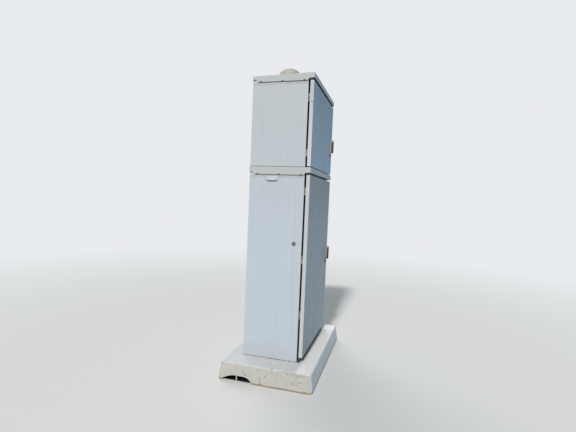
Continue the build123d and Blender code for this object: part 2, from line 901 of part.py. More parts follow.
def handle_boss():
    """Boss with its spindle and two cheeks that carry the pivot pin."""
    floor = plate_thickness - plate_recess + turning_gap
    boss = Pos(0, 0, (floor + boss_rise) / 2) * Cylinder(boss_diameter / 2, boss_rise - floor)
    length = cam_depth() + floor
    boss += Pos(0, 0, floor - length / 2) * Cylinder(spindle_diameter / 2, length)
    inner = grip_width / 2 + cheek_gap
    for side in (-1, 1):
        cheek = extrude(Rectangle(cheek_thickness, cheek_width), pivot_rise - boss_rise)
        cheek += Pos(0, 0, pivot_rise - boss_rise) * Rot(0, 90, 0) * Cylinder(
            cheek_width / 2, cheek_thickness
        )
        boss += Pos(side * (inner + cheek_thickness / 2), 0, boss_rise) * cheek
    trim = Pos(0, 0, boss_rise / 2) * Cylinder(boss_diameter, boss_rise)
    boss -= trim - Pos(0, 0, boss_rise / 2) * Cylinder(boss_diameter / 2, boss_rise)
    hole = Pos(0, 0, pivot_rise) * Rot(0, 90, 0) * Cylinder(
        pivot_pin_diameter / 2, 2 * grip_width
    )
    return boss - hole


def pivot_pin():
    """Pin across the boss's cheeks that the grip lifts on."""
    length = grip_width + 2 * (cheek_gap + cheek_thickness)
    return Pos(0, 0, pivot_rise) * Rot(0, 90, 0) * Cylinder(pivot_pin_diameter / 2, length)


def grip():
    """Bar that hangs from an eye on the pivot pin and curls towards the plate at its foot."""
    half = grip_thickness / 2
    tail_end = plate_thickness + grip_tail_clearance
    foot = -grip_reach
    outer_face, inner_face = pivot_rise + half, pivot_rise - half
    outline = Polyline(
        (0, inner_face), (0, outer_face), (foot, outer_face), (foot, tail_end),
        (foot + grip_thickness, tail_end), (foot + grip_thickness, inner_face), close=True,
    )
    side = make_face(outline)
    side = fillet(side.vertices().group_by(Axis.X)[0].sort_by(Axis.Y)[-1], grip_tail)
    bar = extrude(Plane.YZ * side, grip_width / 2, both=True)
    bar = chamfer(bar.faces().filter_by(Axis.X).edges(), grip_edge)
    pivot = Pos(0, 0, pivot_rise) * Rot(0, 90, 0)
    bar += pivot * Cylinder(grip_eye_diameter / 2, grip_width)
    bore = pivot_pin_diameter / 2 + running_clearance
    return bar - pivot * Cylinder(bore, 2 * grip_width)


def latch_cam():
    """Plate on the spindle's end with a tongue, which points up at rest, and two drive pins."""
    low = -cam_depth()
    plate = Pos(0, 0, low + cam_thickness / 2) * Cylinder(cam_diameter / 2, cam_thickness)
    tongue = Pos(0, tongue_length / 2, low) * extrude(
        Rectangle(tongue_width, tongue_length), cam_thickness
    )
    plate += tongue
    pin_length = turning_gap + rod_thickness + drive_pin_proud
    for side in (-1, 1):
        x = side * drive_radius * math.cos(math.radians(drive_angle))
        y = side * drive_radius * math.sin(math.radians(drive_angle))
        plate += Pos(x, y, low - pin_length / 2) * Cylinder(drive_pin_diameter / 2, pin_length)
    return plate - Pos(0, 0, low) * Cylinder(spindle_diameter / 2, 3 * cam_thickness)


def lock_housing():
    """Round lock case: an outer flange and a threaded body through the sheet."""
    case = Pos(0, 0, lock_flange_thickness / 2) * Cylinder(
        lock_flange_diameter / 2, lock_flange_thickness
    )
    case = chamfer(case.faces().sort_by(Axis.Z)[-1].edges(), lock_chamfer)
    case += Pos(0, 0, -lock_body_length / 2) * Cylinder(lock_body_diameter / 2, lock_body_length)
    case += hexagon(0, 0, -sheet - lock_nut_height, -sheet, lock_flange_diameter)
    bore = lock_barrel_diameter / 2 + running_clearance
    return case - Cylinder(bore, 4 * lock_body_length)


def lock_barrel():
    """Key barrel with a keyway and a small locking arm at its inner end."""
    top = lock_flange_thickness + lock_proud
    low = -lock_body_length - turning_gap
    barrel = Pos(0, 0, (top + low) / 2) * Cylinder(lock_barrel_diameter / 2, top - low)
    barrel -= Pos(0, 0, top) * Box(keyway_width, keyway_length, 2 * keyway_depth)
    arm = SlotCenterPoint(
        (0, lock_arm_length / 2), (0, lock_arm_length), lock_arm_width
    ) + Circle(lock_barrel_diameter / 2)
    arm += Pos(0, lock_arm_length / 2) * Rectangle(lock_arm_width, lock_arm_length)
    return barrel + Pos(0, 0, low - cam_thickness) * extrude(arm, cam_thickness)


def gland_plate():
    """Aluminium sheet over the floor opening, drilled for the cable glands."""
    half_x = floor_opening_length / 2 + gland_plate_overlap
    half_y = floor_opening_width / 2 + gland_plate_overlap
    low = ground + sheet
    plate = block(
        centre - half_x, centre + half_x, -half_y, half_y, low, low + gland_plate_thickness
    )
    high = low + gland_plate_thickness
    for x, y in gland_places():
        plate -= upright_cylinder(x, y, low - overcut, high + overcut, gland_thread_diameter)
    return plate


def gland_places():
    """Rows and columns of cable glands."""
    columns = int(floor_opening_length / gland_pitch)
    rows = int(floor_opening_width / gland_pitch)
    return [
        (centre + (i - (columns - 1) / 2) * gland_pitch, (j - (rows - 1) / 2) * gland_pitch)
        for i in range(columns)
        for j in range(rows)
    ]


def glands():
    """Cable glands: a threaded body, a hexagon and a domed cap, bored through."""
    parts = []
    seat = ground + sheet + gland_plate_thickness
    low = seat - gland_plate_thickness - gland_thread_length
    nut_top = seat + gland_nut_height
    top = nut_top + gland_cap_height
    for x, y in gland_places():
        body = upright_cylinder(x, y, low, seat, gland_thread_diameter)
        body += hexagon(x, y, seat, nut_top, gland_nut_across)
        cap = upright_cylinder(x, y, nut_top, top, gland_nut_across - 2 * gland_cap_step)
        body += fillet(cap.faces().sort_by(Axis.Z)[-1].edges(), gland_cap_height / 4)
        bore = upright_cylinder(x, y, low - overcut, top + overcut, gland_bore_diameter)
        parts.append(body - bore)
    return parts


def back_plate():
    """Equipment plate folded back along its sides to stand on the back wall."""
    x0, x1 = centre - back_plate_width / 2, centre + back_plate_width / 2
    z0, z1 = ground + back_plate_bottom, ground + back_plate_top
    plate = block(x0, x1, plate_face, back_inside, z0, z1)
    t = back_plate_thickness
    return plate - block(
        x0 + t, x1 - t, plate_face + t, back_inside + overcut, z0 - overcut, z1 + overcut
    )


def rack_frame():
    """Two angle uprights on arms from the back plate, with cross bars at top and bottom."""
    face = rack_face
    outer = rack_panel_width / 2 + rack_sheet
    inner = outer - rack_sheet - rack_upright_width
    z0, z1 = ground + rack_bottom, ground + rack_top
    frame = None
    for side in (-1, 1):
        a, b, c = (centre + side * v for v in (inner, outer, outer - rack_sheet))
        upright = block(min(a, b), max(a, b), face, face + rack_sheet, z0, z1)
        upright += block(min(b, c), max(b, c), face, face + rack_upright_depth, z0, z1)
        for z in (z0, z1 - rack_arm_height):
            upright += block(min(b, c), max(b, c), face, plate_face, z, z + rack_arm_height)
        for z in rack_hole_heights():
            hole = Pos(centre + side * rack_hole_spacing / 2, face, z) * Rot(90, 0, 0)
            upright -= hole * Cylinder(rack_hole_diameter / 2, 4 * rack_sheet)
        frame = upright if frame is None else frame + upright
    for z in (z0, z1 - rack_sheet):
        frame += block(
            centre - outer, centre + outer, face + rack_sheet,
            face + rack_upright_depth, z, z + rack_sheet,
        )
    return frame


def rack_hole_heights():
    """One fixing hole in the middle of each rack unit."""
    top = ground + rack_first_unit
    return [top - (i + 0.5) * rack_unit_height for i in range(rack_units)]


def unit_span(first, units):
    """Lowest and highest edge of a rack panel, counted in rack units down from the top."""
    top = ground + rack_first_unit - first * rack_unit_height
    return top - units * rack_unit_height + unit_panel_gap, top


def rack_unit_box(first, units, cards):
    """Rack unit: a panel over the uprights, a closed case behind it and card fronts."""
    z0, z1 = unit_span(first, units)
    face = rack_face
    front = face - unit_panel_thickness
    half = rack_panel_width / 2
    body = block(centre - half, centre + half, front, face, z0, z1)
    case = unit_body_width / 2
    gap = unit_case_gap
    body += block(centre - case, centre + case, face, face + unit_depth, z0 + gap, z1 - gap)
    if cards:
        pitch = (unit_body_width - 2 * card_margin) / cards
        for i in range(cards):
            x = centre - case + card_margin + i * pitch
            body += block(
                x, x + pitch - card_depth, front - card_depth, front,
                z0 + card_margin, z1 - card_margin,
            )
    for side in (-1, 1):
        body += bow_handle(centre + side * (case - card_margin / 4), front, z0, z1)
    return body


def bow_handle(x, front, z0, z1):
    """Round pull handle on a rack panel, with two legs and a bar."""
    inset = rack_unit_height / 4
    radius = unit_handle_diameter / 2
    reach = unit_handle_reach
    low, high = z0 + inset, z1 - inset
    bar = upright_cylinder(x, front - reach, low - radius, high + radius, unit_handle_diameter)
    for z in (low, high):
        leg = Pos(x, front - reach / 2, z) * Rot(90, 0, 0) * Cylinder(radius, reach)
        bar += leg
    return bar


def supply_unit(first, units):
    """Power supply: a rack unit with a row of upright cooling slots in its panel."""
    z0, z1 = unit_span(first, units)
    front = rack_face - unit_panel_thickness
    body = rack_unit_box(first, units, 0)
    slots = 2 * fin_count
    pitch = (unit_body_width - 2 * supply_slot_margin) / slots
    for i in range(slots):
        x = centre + (i - (slots - 1) / 2) * pitch
        body -= block(
            x - pitch / 4, x + pitch / 4, front - overcut, front + unit_panel_thickness / 2,
            z0 + card_margin, z1 - card_margin,
        )
    return body


def breaker_places():
    """Middle of each breaker along X."""
    return [centre + breaker_first_offset + i * breaker_pitch for i in range(breaker_count)]


def switch_panel(first, units):
    """Panel on the uprights with windows for the breakers and the main switch."""
    z0, z1 = unit_span(first, units)
    face = rack_face
    half = rack_panel_width / 2
    panel = block(centre - half, centre + half, face - unit_panel_thickness, face, z0, z1)
    middle = (z0 + z1) / 2
    for x in breaker_places():
        panel -= block(
            x - breaker_width / 2, x + breaker_width / 2, face - 2 * unit_panel_thickness,
            face + overcut, middle - breaker_height / 2, middle + breaker_height / 2,
        )
    shaft = Pos(centre + switch_offset, face, middle) * Rot(90, 0, 0)
    return panel - shaft * Cylinder(
        knob_shaft_diameter / 2 + running_clearance, 4 * unit_panel_thickness
    )


def breaker(x, middle):
    """Breaker case pushed through its window, with a slot that the toggle turns in."""
    face = rack_face
    half_w, half_h = breaker_width / 2, breaker_height / 2
    wide, tall = half_w + breaker_flange, half_h + breaker_flange
    nose = face - unit_panel_thickness - breaker_nose
    rear = face + breaker_depth
    case = block(x - half_w, x + half_w, nose, rear, middle - half_h, middle + half_h)
    case += block(
        x - wide, x + wide, face, face + breaker_depth / 2, middle - tall, middle + tall
    )
    width = toggle_width + 2 * toggle_clearance
    place = Pos(x, nose + toggle_sink, middle) * Rot(0, 90, 0)
    case -= place * Cylinder(toggle_diameter / 2 + toggle_clearance, width)
    return case + place * Cylinder(toggle_axle_diameter / 2, width + toggle_sink)


def toggle(x, middle):
    """Breaker lever on its axle, thrown up at rest."""
    nose = rack_face - unit_panel_thickness - breaker_nose
    place = Pos(x, nose + toggle_sink, middle) * Rot(0, 90, 0)
    body = Cylinder(toggle_diameter / 2, toggle_width)
    lever = Pos(0, (toggle_diameter / 2 + toggle_lever) / 2, 0) * Box(
        toggle_lever_thickness, toggle_diameter / 2 + toggle_lever, toggle_width
    )
    body += Rot(0, 0, 180 - toggle_angle) * lever
    bore = toggle_axle_diameter / 2 + running_clearance
    return place * (body - Cylinder(bore, 2 * toggle_width))


def main_switch(middle):
    """Main switch body behind the panel with its turned face in front of the knob."""
    face = rack_face
    x = centre + switch_offset
    half = switch_body_width / 2
    body = block(x - half, x + half, face, face + switch_body_depth, middle - half, middle + half)
    shaft = Pos(x, face, middle) * Rot(90, 0, 0)
    bore = knob_shaft_diameter / 2 + running_clearance
    return body - shaft * Cylinder(bore, switch_body_depth)


def switch_knob(middle):
    """Round knob with a raised bar, on a shaft into the switch body."""
    front = unit_panel_thickness + turning_gap
    knob = Pos(0, 0, front + knob_height / 2) * Cylinder(knob_diameter / 2, knob_height)
    knob = chamfer(knob.faces().sort_by(Axis.Z)[-1].edges(), knob_chamfer)
    bar = Pos(0, 0, front + knob_height) * extrude(
        Rectangle(knob_bar_width, knob_diameter - 2 * knob_bar_inset), knob_bar_height
    )
    knob += fillet(bar.faces().sort_by(Axis.Z)[-1].edges(), knob_bar_inset)
    length = switch_body_depth / 3
    knob += Pos(0, 0, front - length / 2) * Cylinder(knob_shaft_diameter / 2, length)
    return Pos(centre + switch_offset, rack_face, middle) * Rot(90, 0, 0) * knob


def fan_levels():
    """Low and high face of the fan, inside its one-unit tray."""
    z0, z1 = unit_span(0, fan_units)
    low = (z0 + z1 - fan_height) / 2
    return low, low + fan_height


def fan_centre():
    """The fan's upright axis."""
    return centre, rack_face + unit_depth / 2


def fan_tray():
    """One-unit tray: panel, floor with a round opening, fan frame, struts and motor cup."""
    z0, z1 = unit_span(0, fan_units)
    face = rack_face
    half, case = rack_panel_width / 2, unit_body_width / 2
    low, high = fan_levels()
    x, y = fan_centre()
    tray = block(centre - half, centre + half, face - unit_panel_thickness, face, z0, z1)
    tray += block(centre - case, centre + case, face, face + unit_depth, low - sheet, low)
    for side in (-1, 1):
        wall_x = centre + side * (case - sheet / 2)
        tray += block(
            wall_x - sheet / 2, wall_x + sheet / 2, face, face + unit_depth, low,
            z1 - unit_case_gap,
        )
    tray += block(
        x - fan_size / 2, x + fan_size / 2, y - fan_size / 2, y + fan_size / 2, low, high
    )
    tray -= upright_cylinder(x, y, low - 2 * sheet, high + overcut, fan_bore_diameter)
    floor = low - sheet
    for angle in (45, 135):
        strut = Box(fan_bore_diameter + sheet, fan_strut_width, fan_strut_thickness)
        tray += Pos(x, y, floor + fan_strut_thickness / 2) * Rot(0, 0, angle) * strut
    cup_top = floor + fan_strut_thickness
    tray += upright_cylinder(x, y, floor, cup_top, fan_hub_diameter)
    tray += upright_cylinder(x, y, cup_top, high - fan_cup_wall, fan_shaft_diameter)
    return tray


def fan_rotor():
    """Hub cup on the fan's post with a ring of pitched blades."""
    low, high = fan_levels()
    x, y = fan_centre()
    bottom = low - sheet + fan_strut_thickness + 2 * turning_gap
    hub = upright_cylinder(x, y, bottom, high, fan_hub_diameter)
    tip = fan_bore_diameter / 2 - fan_blade_clearance
    root = fan_hub_diameter / 2 - fan_blade_clearance
    middle = (bottom + high) / 2
    chord = fan_blade_height / math.sin(math.radians(fan_blade_angle))
    for i in range(fan_blade_count):
        blade = Pos((root + tip) / 2, 0, 0) * Rot(fan_blade_angle, 0, 0) * Box(
            tip - root, chord, fan_blade_thickness
        )
        hub += Pos(x, y, middle) * Rot(0, 0, i * 360 / fan_blade_count) * blade
    hub &= upright_cylinder(x, y, bottom, high, 2 * tip)
    bore = fan_shaft_diameter + 2 * running_clearance
    return hub - upright_cylinder(x, y, bottom - overcut, high - fan_cup_wall + turning_gap, bore)


def terminal_strips():
    """Rows of terminal blocks on rails, each row notched into single terminals."""
    face = plate_face
    parts = []
    x0, x1 = centre - terminal_length / 2, centre + terminal_length / 2
    count = int(terminal_length / terminal_pitch)
    for row in range(terminal_rows):
        z = ground + terminal_first + row * terminal_row_pitch
        rail = block(
            x0 - rail_overhang, x1 + rail_overhang, face - rail_depth, face,
            z - rail_height / 2, z + rail_height / 2,
        )
        front = face - rail_depth - terminal_depth
        strip = block(
            x0, x1, front, face - rail_depth, z - terminal_height / 2, z + terminal_height / 2
        )
        notches = [
            block(
                x0 + i * terminal_pitch - terminal_notch_width / 2,
                x0 + i * terminal_pitch + terminal_notch_width / 2,
                front - overcut, front + terminal_notch_depth,
                z - terminal_height, z + terminal_height,
            )
            for i in range(1, count)
        ]
        for side in (-1, 1):
            ledge = z + side * (terminal_height - terminal_ledge_height) / 2
            strip -= block(
                x0 - overcut, x1 + overcut, front - overcut, front + terminal_notch_depth,
                ledge - terminal_ledge_height / 2, ledge + terminal_ledge_height / 2,
            )
        parts += [rail, strip - notches]
    return parts


def wiring_duct(x):
    """Slotted trunking with its lid, up the equipment plate."""
    face = plate_face
    x0, x1 = x - duct_width / 2, x + duct_width / 2
    z0, z1 = ground + back_plate_bottom + duct_width, ground + back_plate_top - duct_width
    front = face - duct_depth
    duct = block(x0, x1, front, face, z0, z1)
    duct -= block(
        x0 + duct_wall, x1 - duct_wall, front + duct_lid, face - duct_wall,
        z0 - overcut, z1 + overcut,
    )
    count = int((z1 - z0) / duct_slot_pitch) - 1
    slots = [
        block(
            x0 - overcut, x1 + overcut, front + duct_slot_margin, face - duct_slot_margin,
            z0 + (i + 1) * duct_slot_pitch - duct_slot_width / 2,
            z0 + (i + 1) * duct_slot_pitch + duct_slot_width / 2,
        )
        for i in range(count)
    ]
    return duct - slots


def shelf():
    """Folded shelf between the upper housing's side walls, with turned-down edges."""
    z = roof_bottom - shelf_drop
    x0, x1 = left + sheet, right - sheet
    y0, y1 = back_inside - shelf_depth, back_inside
    tray = block(x0, x1, y0, y1, z - shelf_edge, z)
    return tray - block(
        x0 + sheet, x1 - sheet, y0 + sheet, y1 - sheet, z - shelf_edge - overcut, z - sheet
    )


def backup_supply():
    """Standby supply: a case on the upper floor with cooling grooves down its front."""
    z0 = band_top + sheet
    x0, x1 = centre - supply_length / 2, centre + supply_length / 2
    y1 = back_inside - shelf_edge
    y0 = y1 - supply_depth
    body = block(x0, x1, y0, y1, z0, z0 + supply_height)
    body = fillet(body.edges().filter_by(Axis.Z), supply_edge_radius)
    pitch = supply_length / (2 * fin_count)
    for i in range(fin_count):
        x = x0 + (i + fin_count / 2) * pitch
        body -= block(
            x, x + pitch / 2, y0 - overcut, y0 + fin_depth, z0 + 2 * shelf_edge,
            z0 + supply_height - shelf_edge,
        )
    return body


def network_unit():
    """Communications unit on the shelf, with cooling fins on its top."""
    z0 = roof_bottom - shelf_drop
    x0, x1 = centre - modem_length / 2, centre + modem_length / 2
    y1 = back_inside - 2 * shelf_edge
    y0 = y1 - modem_depth
    body = block(x0, x1, y0, y1, z0, z0 + modem_height)
    pitch = modem_length / fin_count
    grooves = [
        block(
            x0 + i * pitch + pitch / 4, x0 + (i + 1) * pitch - pitch / 4, y0 - overcut, y1 + overcut,
            z0 + modem_height - fin_depth, z0 + modem_height + overcut,
        )
        for i in range(fin_count)
    ]
    return body - grooves


def document_pocket():
    """Folded pocket on the inside of the lower door, open at its top."""
    z0 = ground + pocket_rise
    x0 = stiffener_x + stiffener_width / 2 + pocket_stiffener_gap
    x1 = rod_edges(-1)[0] - pocket_rod_gap
    y0, y1 = door_inside, door_inside + pocket_depth
    t = pocket_sheet
    body = block(x0, x1, y0, y1, z0, z0 + pocket_height)
    body -= block(x0 + t, x1 - t, y0 + t, y1 - t, z0 + t, z0 + pocket_height + overcut)
    front_top = z0 + pocket_height - pocket_back_rise
    return body - block(
        x0 - overcut, x1 + overcut, y0 + t, y1 + overcut, front_top, front_top + pocket_height
    )


def door_set(name, span, handle_z, door_parts):
    """Writes one door with its gasket, handle, key lock, cam and rods."""
    place = on_door(handle_x, handle_z)
    lock_place = on_door(handle_x, handle_z - key_lock_below())
    save(f"{name}_door", *door_parts)
    save(f"{name}_door_gasket", gasket(span))
    save(f"{name}_handle_plate", place * handle_plate())
    save(f"{name}_handle_boss", place * handle_boss())
    save(f"{name}_handle_pin", place * pivot_pin())
    save(f"{name}_handle_grip", place * grip())
    save(f"{name}_latch_cam", place * latch_cam())
    save(f"{name}_lock_case", lock_place * lock_housing())
    save(f"{name}_lock_barrel", lock_place * lock_barrel())
    top = span[1] - opening_margin - rod_tip_clearance
    bottom = span[0] + opening_margin + rod_tip_clearance
    save(f"{name}_top_rod", lock_rod(-1, handle_z, top))
    save(f"{name}_bottom_rod", lock_rod(1, handle_z, bottom))


def main():
    """Builds and writes every piece."""
    save("concrete_plinth", plinth())
    save("anchor_bolts", *anchor_parts())
    packer_x = -plinth_length / 2 - plinth_taper + packer_inset
    packer_top = arch_rise - soft_clearance
    packer = upright_cylinder(packer_x, arch_centre, 0, packer_top, packer_diameter)
    save("arch_packer", packer)
    save("lower_housing", *lower_housing())
    save("middle_canopy", *middle_canopy())
    save("upper_housing", *upper_housing())
    save("roof_canopy", *roof_canopy())
    save("canopy_screws", *screws())
    save("housing_bolts", *housing_bolts(), dome_nut())
    save("vent_hood", vent_hood())
    save("roof_dome", roof_dome())
    side_place = on_side(side_lock_y, ground + side_lock_height)
    save("side_lock_case", side_place * lock_housing())
    save("side_lock_barrel", side_place * lock_barrel())

    lower_spots, upper_spots = hinge_spots()
    save("frame_hinges", *[frame_hinge(z) for z in lower_spots + upper_spots])
    save("hinge_pins", *[hinge_pin(z) for z in lower_spots + upper_spots])
    save("lower_door_hinges", *[door_hinge(z) for z in lower_spots])
    save("upper_door_hinges", *[door_hinge(z) for z in upper_spots])
    lower_z = ground + lower_handle_height
    upper_z = band_top + upper_handle_height
    door_set("lower", lower_door_span, lower_z, door(lower_door_span, lower_z))
    upper_parts = [part - return_hole() for part in door(upper_door_span, upper_z)]
    door_set("upper", upper_door_span, upper_z, upper_parts)
    save("document_pocket", document_pocket())

    save("gland_plate", gland_plate())
    save("cable_glands", *glands())
    save("equipment_plate", back_plate())
    save("rack_frame", rack_frame())
    save("fan_tray", fan_tray())
    save("fan_rotor", fan_rotor())
    first = fan_units
    save("controller_unit", rack_unit_box(first, controller_units, controller_cards))
    first += controller_units
    save("detector_unit", rack_unit_box(first, detector_units, detector_cards))
    first += detector_units
    save("power_supply", supply_unit(first, supply_units))
    first += supply_units
    z0, z1 = unit_span(first, switch_units)
    middle = (z0 + z1) / 2
    save("switch_panel", switch_panel(first, switch_units) + main_switch(middle))
    save("breakers", *[breaker(x, middle) for x in breaker_places()])
    for number, x in enumerate(breaker_places(), 1):
        save(f"breaker_toggle_{number}", toggle(x, middle))
    save("main_switch_knob", switch_knob(middle))
    save("terminal_strips", *terminal_strips())
    save("wiring_ducts", wiring_duct(centre - duct_offset), wiring_duct(centre + duct_offset))
    save("equipment_shelf", shelf())
    save("backup_supply", backup_supply())
    save("network_unit", network_unit())


main()
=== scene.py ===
"""Roadside traffic signal controller cabinet: its weathered finishes, worn plinth and fittings.

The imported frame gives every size. Lengths are in metres, the door side faces -Y, +Z is up, and
the origin is at the middle of the plinth's underside.
"""
import math

import bmesh
import bpy
import numpy as np
from mathutils import Matrix, Vector


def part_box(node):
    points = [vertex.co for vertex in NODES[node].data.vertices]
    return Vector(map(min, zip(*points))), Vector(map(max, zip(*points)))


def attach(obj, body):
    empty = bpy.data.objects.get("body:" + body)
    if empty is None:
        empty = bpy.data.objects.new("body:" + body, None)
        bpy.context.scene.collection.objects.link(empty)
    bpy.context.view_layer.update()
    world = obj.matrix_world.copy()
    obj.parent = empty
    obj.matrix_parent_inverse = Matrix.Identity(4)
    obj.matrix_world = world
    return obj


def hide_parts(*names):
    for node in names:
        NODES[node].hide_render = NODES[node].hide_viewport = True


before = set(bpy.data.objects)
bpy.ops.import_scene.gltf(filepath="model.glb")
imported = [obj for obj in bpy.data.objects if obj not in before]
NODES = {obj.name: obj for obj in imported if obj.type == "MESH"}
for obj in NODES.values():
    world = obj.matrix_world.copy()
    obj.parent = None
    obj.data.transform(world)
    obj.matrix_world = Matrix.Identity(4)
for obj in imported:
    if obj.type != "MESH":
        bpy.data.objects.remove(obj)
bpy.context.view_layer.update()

bl_info = {
    "name": "Signal controller cabinet",
    "version": (1, 0, 0),
    "blender": (4, 5, 0),
    "location": "View3D > Sidebar > Cabinet",
    "description": "Finishes, worn concrete and small fittings of a roadside signal cabinet",
    "category": "Object",
}

WALL_LOW, WALL_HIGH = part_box("lower_housing")
ROOF_LOW, ROOF_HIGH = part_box("roof_canopy")
DOME_LOW, DOME_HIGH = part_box("roof_dome")
BAND_LOW, BAND_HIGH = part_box("middle_canopy")
UPPER_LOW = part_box("upper_housing")[0]
PLINTH_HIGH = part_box("concrete_plinth")[1]
HOOD_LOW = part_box("vent_hood")[0]
LEFT, RIGHT, BACK = WALL_LOW.x, WALL_HIGH.x, WALL_HIGH.y
MIDDLE = (LEFT + RIGHT) / 2
DOOR_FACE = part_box("lower_door")[0].y
FRAME_FACE = DOOR_FACE + 0.037
ROOF_SLOPE = 0.0114 / (ROOF_HIGH.y - ROOF_LOW.y)
FLAP_EDGES = (BAND_LOW.z, ROOF_LOW.z)
DOORS_MEET = (1.38, 1.44)
LOCK_X, LOCK_LEVELS = 0.349, (0.71, 1.591)
PLINTH_END = (-0.505, -0.515)
RACK_UNIT, RACK_FACE, RACK_SCREW_X = 0.04445, -0.065, 0.23255
RACK_PANELS = ("fan_tray", "controller_unit", "detector_unit", "power_supply", "switch_panel")
CASE_WIDTH, CARD_MARGIN = 0.436, 0.012
TERMINAL_PITCH, TERMINAL_SCREW_Z = 0.01, 0.01875
CAMERA_PLACE = (-2.8456, -0.7658, 1.2067)
CAMERA_LOOK, CAMERA_RIGHT = (0.96223, 0.26906, -0.04146), (0.27075, -0.96172, 0.04236)


def linear(code):
    """Linear colour of a six-digit sRGB code: each part is (c + 0.055) / 1.055 to the power 2.4."""
    parts = [int(code[i:i + 2], 16) / 255 for i in (0, 2, 4)]
    return tuple(c / 12.92 if c <= 0.04045 else ((c + 0.055) / 1.055) ** 2.4 for c in parts)


def length(name, text, value):
    """A length in metres for a property group."""
    return bpy.props.FloatProperty(name=name, description=text, default=value, unit="LENGTH")


def share(name, text, value, highest=1.0):
    """A share or a strength for a property group."""
    return bpy.props.FloatProperty(name=name, description=text, default=value, min=0.0, max=highest)


def colour(name, text, code):
    """A colour for a property group."""
    return bpy.props.FloatVectorProperty(
        name=name, description=text, default=linear(code), size=3, min=0.0, max=1.0,
        subtype="COLOR",
    )


class CabinetPaint(bpy.types.PropertyGroup):
    """Colours and weathering of the painted sheet metal, and the colours of its painted shade and
    highlights.
    """
    wall: colour("Wall", "Paint of the housing walls", "BDC5CD")
    wall_top: colour("Wall near the roof", "Warmer paint high on the walls", "BCC0C2")
    # The two door tones are the doors' weathered paint made darker and bluer than the walls:
    # painted shade of the door side, which faces away from the key light
    door: colour("Door", "Paint of the lower door", "9EB0C0")
    door_top: colour("Door near the roof", "Bluer paint of the upper door", "A6C1DA")
    # This colour is chalky paint on the doors' returns, and a painted highlight along the walls'
    # folded front edges and the canopies' top edges
    chalk_and_highlight: colour("Fold", "Chalky paint on folded edges", "C1C0BC")
    canopy: colour("Canopy", "Paint of the two canopies", "B9BCBA")
    dome: colour("Dome", "Plastic of the roof dome", "B8B0A1")
    grime: colour("Grime", "Washed-down dirt", "7E7A70")
    rust: colour("Rust", "Rust runs and stains", "A8834C")
    # This colour is near-black painted shade: it darkens the gaps round the doors, the canopies'
    # undersides, the hood's mouth, rims round the locks, spots below the canopy screws and a small
    # hole in the door's return
    gap: colour("Gap dirt", "Black dirt where no rain washes", "0F0E0D")
    streaks: share("Streaks", "Strength of the rain streaks", 0.35)
    stains: share("Stains", "Strength of the stains", 0.5)


class PlinthWear(bpy.types.PropertyGroup):
    """Size and colours of the wear on the concrete."""
    top: colour("Top", "Painted top of the plinth", "CBCBCA")
    side: colour("Side", "Bare sides of the plinth", "BDBBB2")
    earth: colour("Earth", "Soil on the lower edge", "8F7A5C")
    waviness: length("Waviness", "How far the cast faces wander", 0.0012)
    chipping: length("Chipping", "How deep the edges are chipped", 0.0045)
    pitting: length("Pitting", "Depth of the blow holes", 0.0022)
    flake_depth: length("Flake depth", "Depth of the flaked patch", 0.0016)
    crack_depth: length("Crack depth", "Depth of the crack in the end", 0.006)
    crack_y: length("Crack place", "Where the crack stands along the end", 0.0255)
    mesh_step: length("Grid step", "Spacing of the points along the outline", 0.0045)


class StageLight(bpy.types.PropertyGroup):
    """Camera, floor and lamps."""
    lens: bpy.props.FloatProperty(
        name="Lens", description="Focal length", default=24.06, unit="CAMERA"
    )
    floor: colour("Floor", "Pale floor", "DAD9D5")
    background: colour("Background", "Pale background", "E9EBEE")
    fill: share("Fill", "Strength of the even light", 0.25)
    key: share("Key", "Strength of the soft light from the left", 2.65, 10.0)
    rear: share("Rear", "Strength of the soft light from behind", 1.2, 10.0)


class FittingSizes(bpy.types.PropertyGroup):
    """Sizes of the small fittings."""
    screw_radius: length("Screw radius", "Radius of a rack screw's head", 0.0052)
    screw_height: length("Screw height", "Height of a rack screw's head", 0.003)
    terminal_screw: length("Terminal screw", "Radius of a terminal's screw", 0.0033)
    lamp_radius: length("Lamp radius", "Radius of a status lamp", 0.0022)
    bead: length("Bead", "Radius of the sealant bead", 0.0032)


def hashed(cells, seed):
    """Repeatable random share for whole cell numbers: the broken part of a large sine."""
    value = np.sin(cells @ np.array([127.1, 311.7, 74.7]) + 19.19 * seed) * 43758.5453
    return value - np.floor(value)


def lattice_noise(points, size, seed):
    """Smooth noise from 0 to 1: random corners of a cubic lattice, blended by 3t^2 - 2t^3."""
    scaled = points / size
    cell = np.floor(scaled)
    t = scaled - cell
    t = t * t * (3 - 2 * t)
    total = np.zeros(len(points))
    for corner in range(8):
        offset = np.array([corner & 1, (corner >> 1) & 1, (corner >> 2) & 1], float)
        weight = np.prod(np.where(offset > 0, t, 1 - t), axis=1)
        total += weight * hashed(cell + offset, seed)
    return total


def layered_noise(points, size, seed, layers=3):
    """Sum of noises, each with half the size and half the height of the one before."""
    total, height, whole = 0.0, 1.0, 0.0
    for layer in range(layers):
        total = total + height * lattice_noise(points, size / 2 ** layer, seed + layer)
        whole += height
        height /= 2
    return total / whole


def smooth_step(value, low, high):
    """0 below low, 1 above high and 3t^2 - 2t^3 between them."""
    t = np.clip((value - low) / (high - low), 0, 1)
    return t * t * (3 - 2 * t)


def placed(name, data):
    """A new object in the scene."""
    thing = bpy.data.objects.new(name, data)
    bpy.context.scene.collection.objects.link(thing)
    return thing


def face_outwards(thing):
    """Turns every face of a closed piece outwards."""
    work = bmesh.new()
    work.from_mesh(thing.data)
    bmesh.ops.remove_doubles(work, verts=work.verts, dist=1e-6)
    bmesh.ops.recalc_face_normals(work, faces=work.faces)
    work.to_mesh(thing.data)
    work.free()
    thing.data.update()


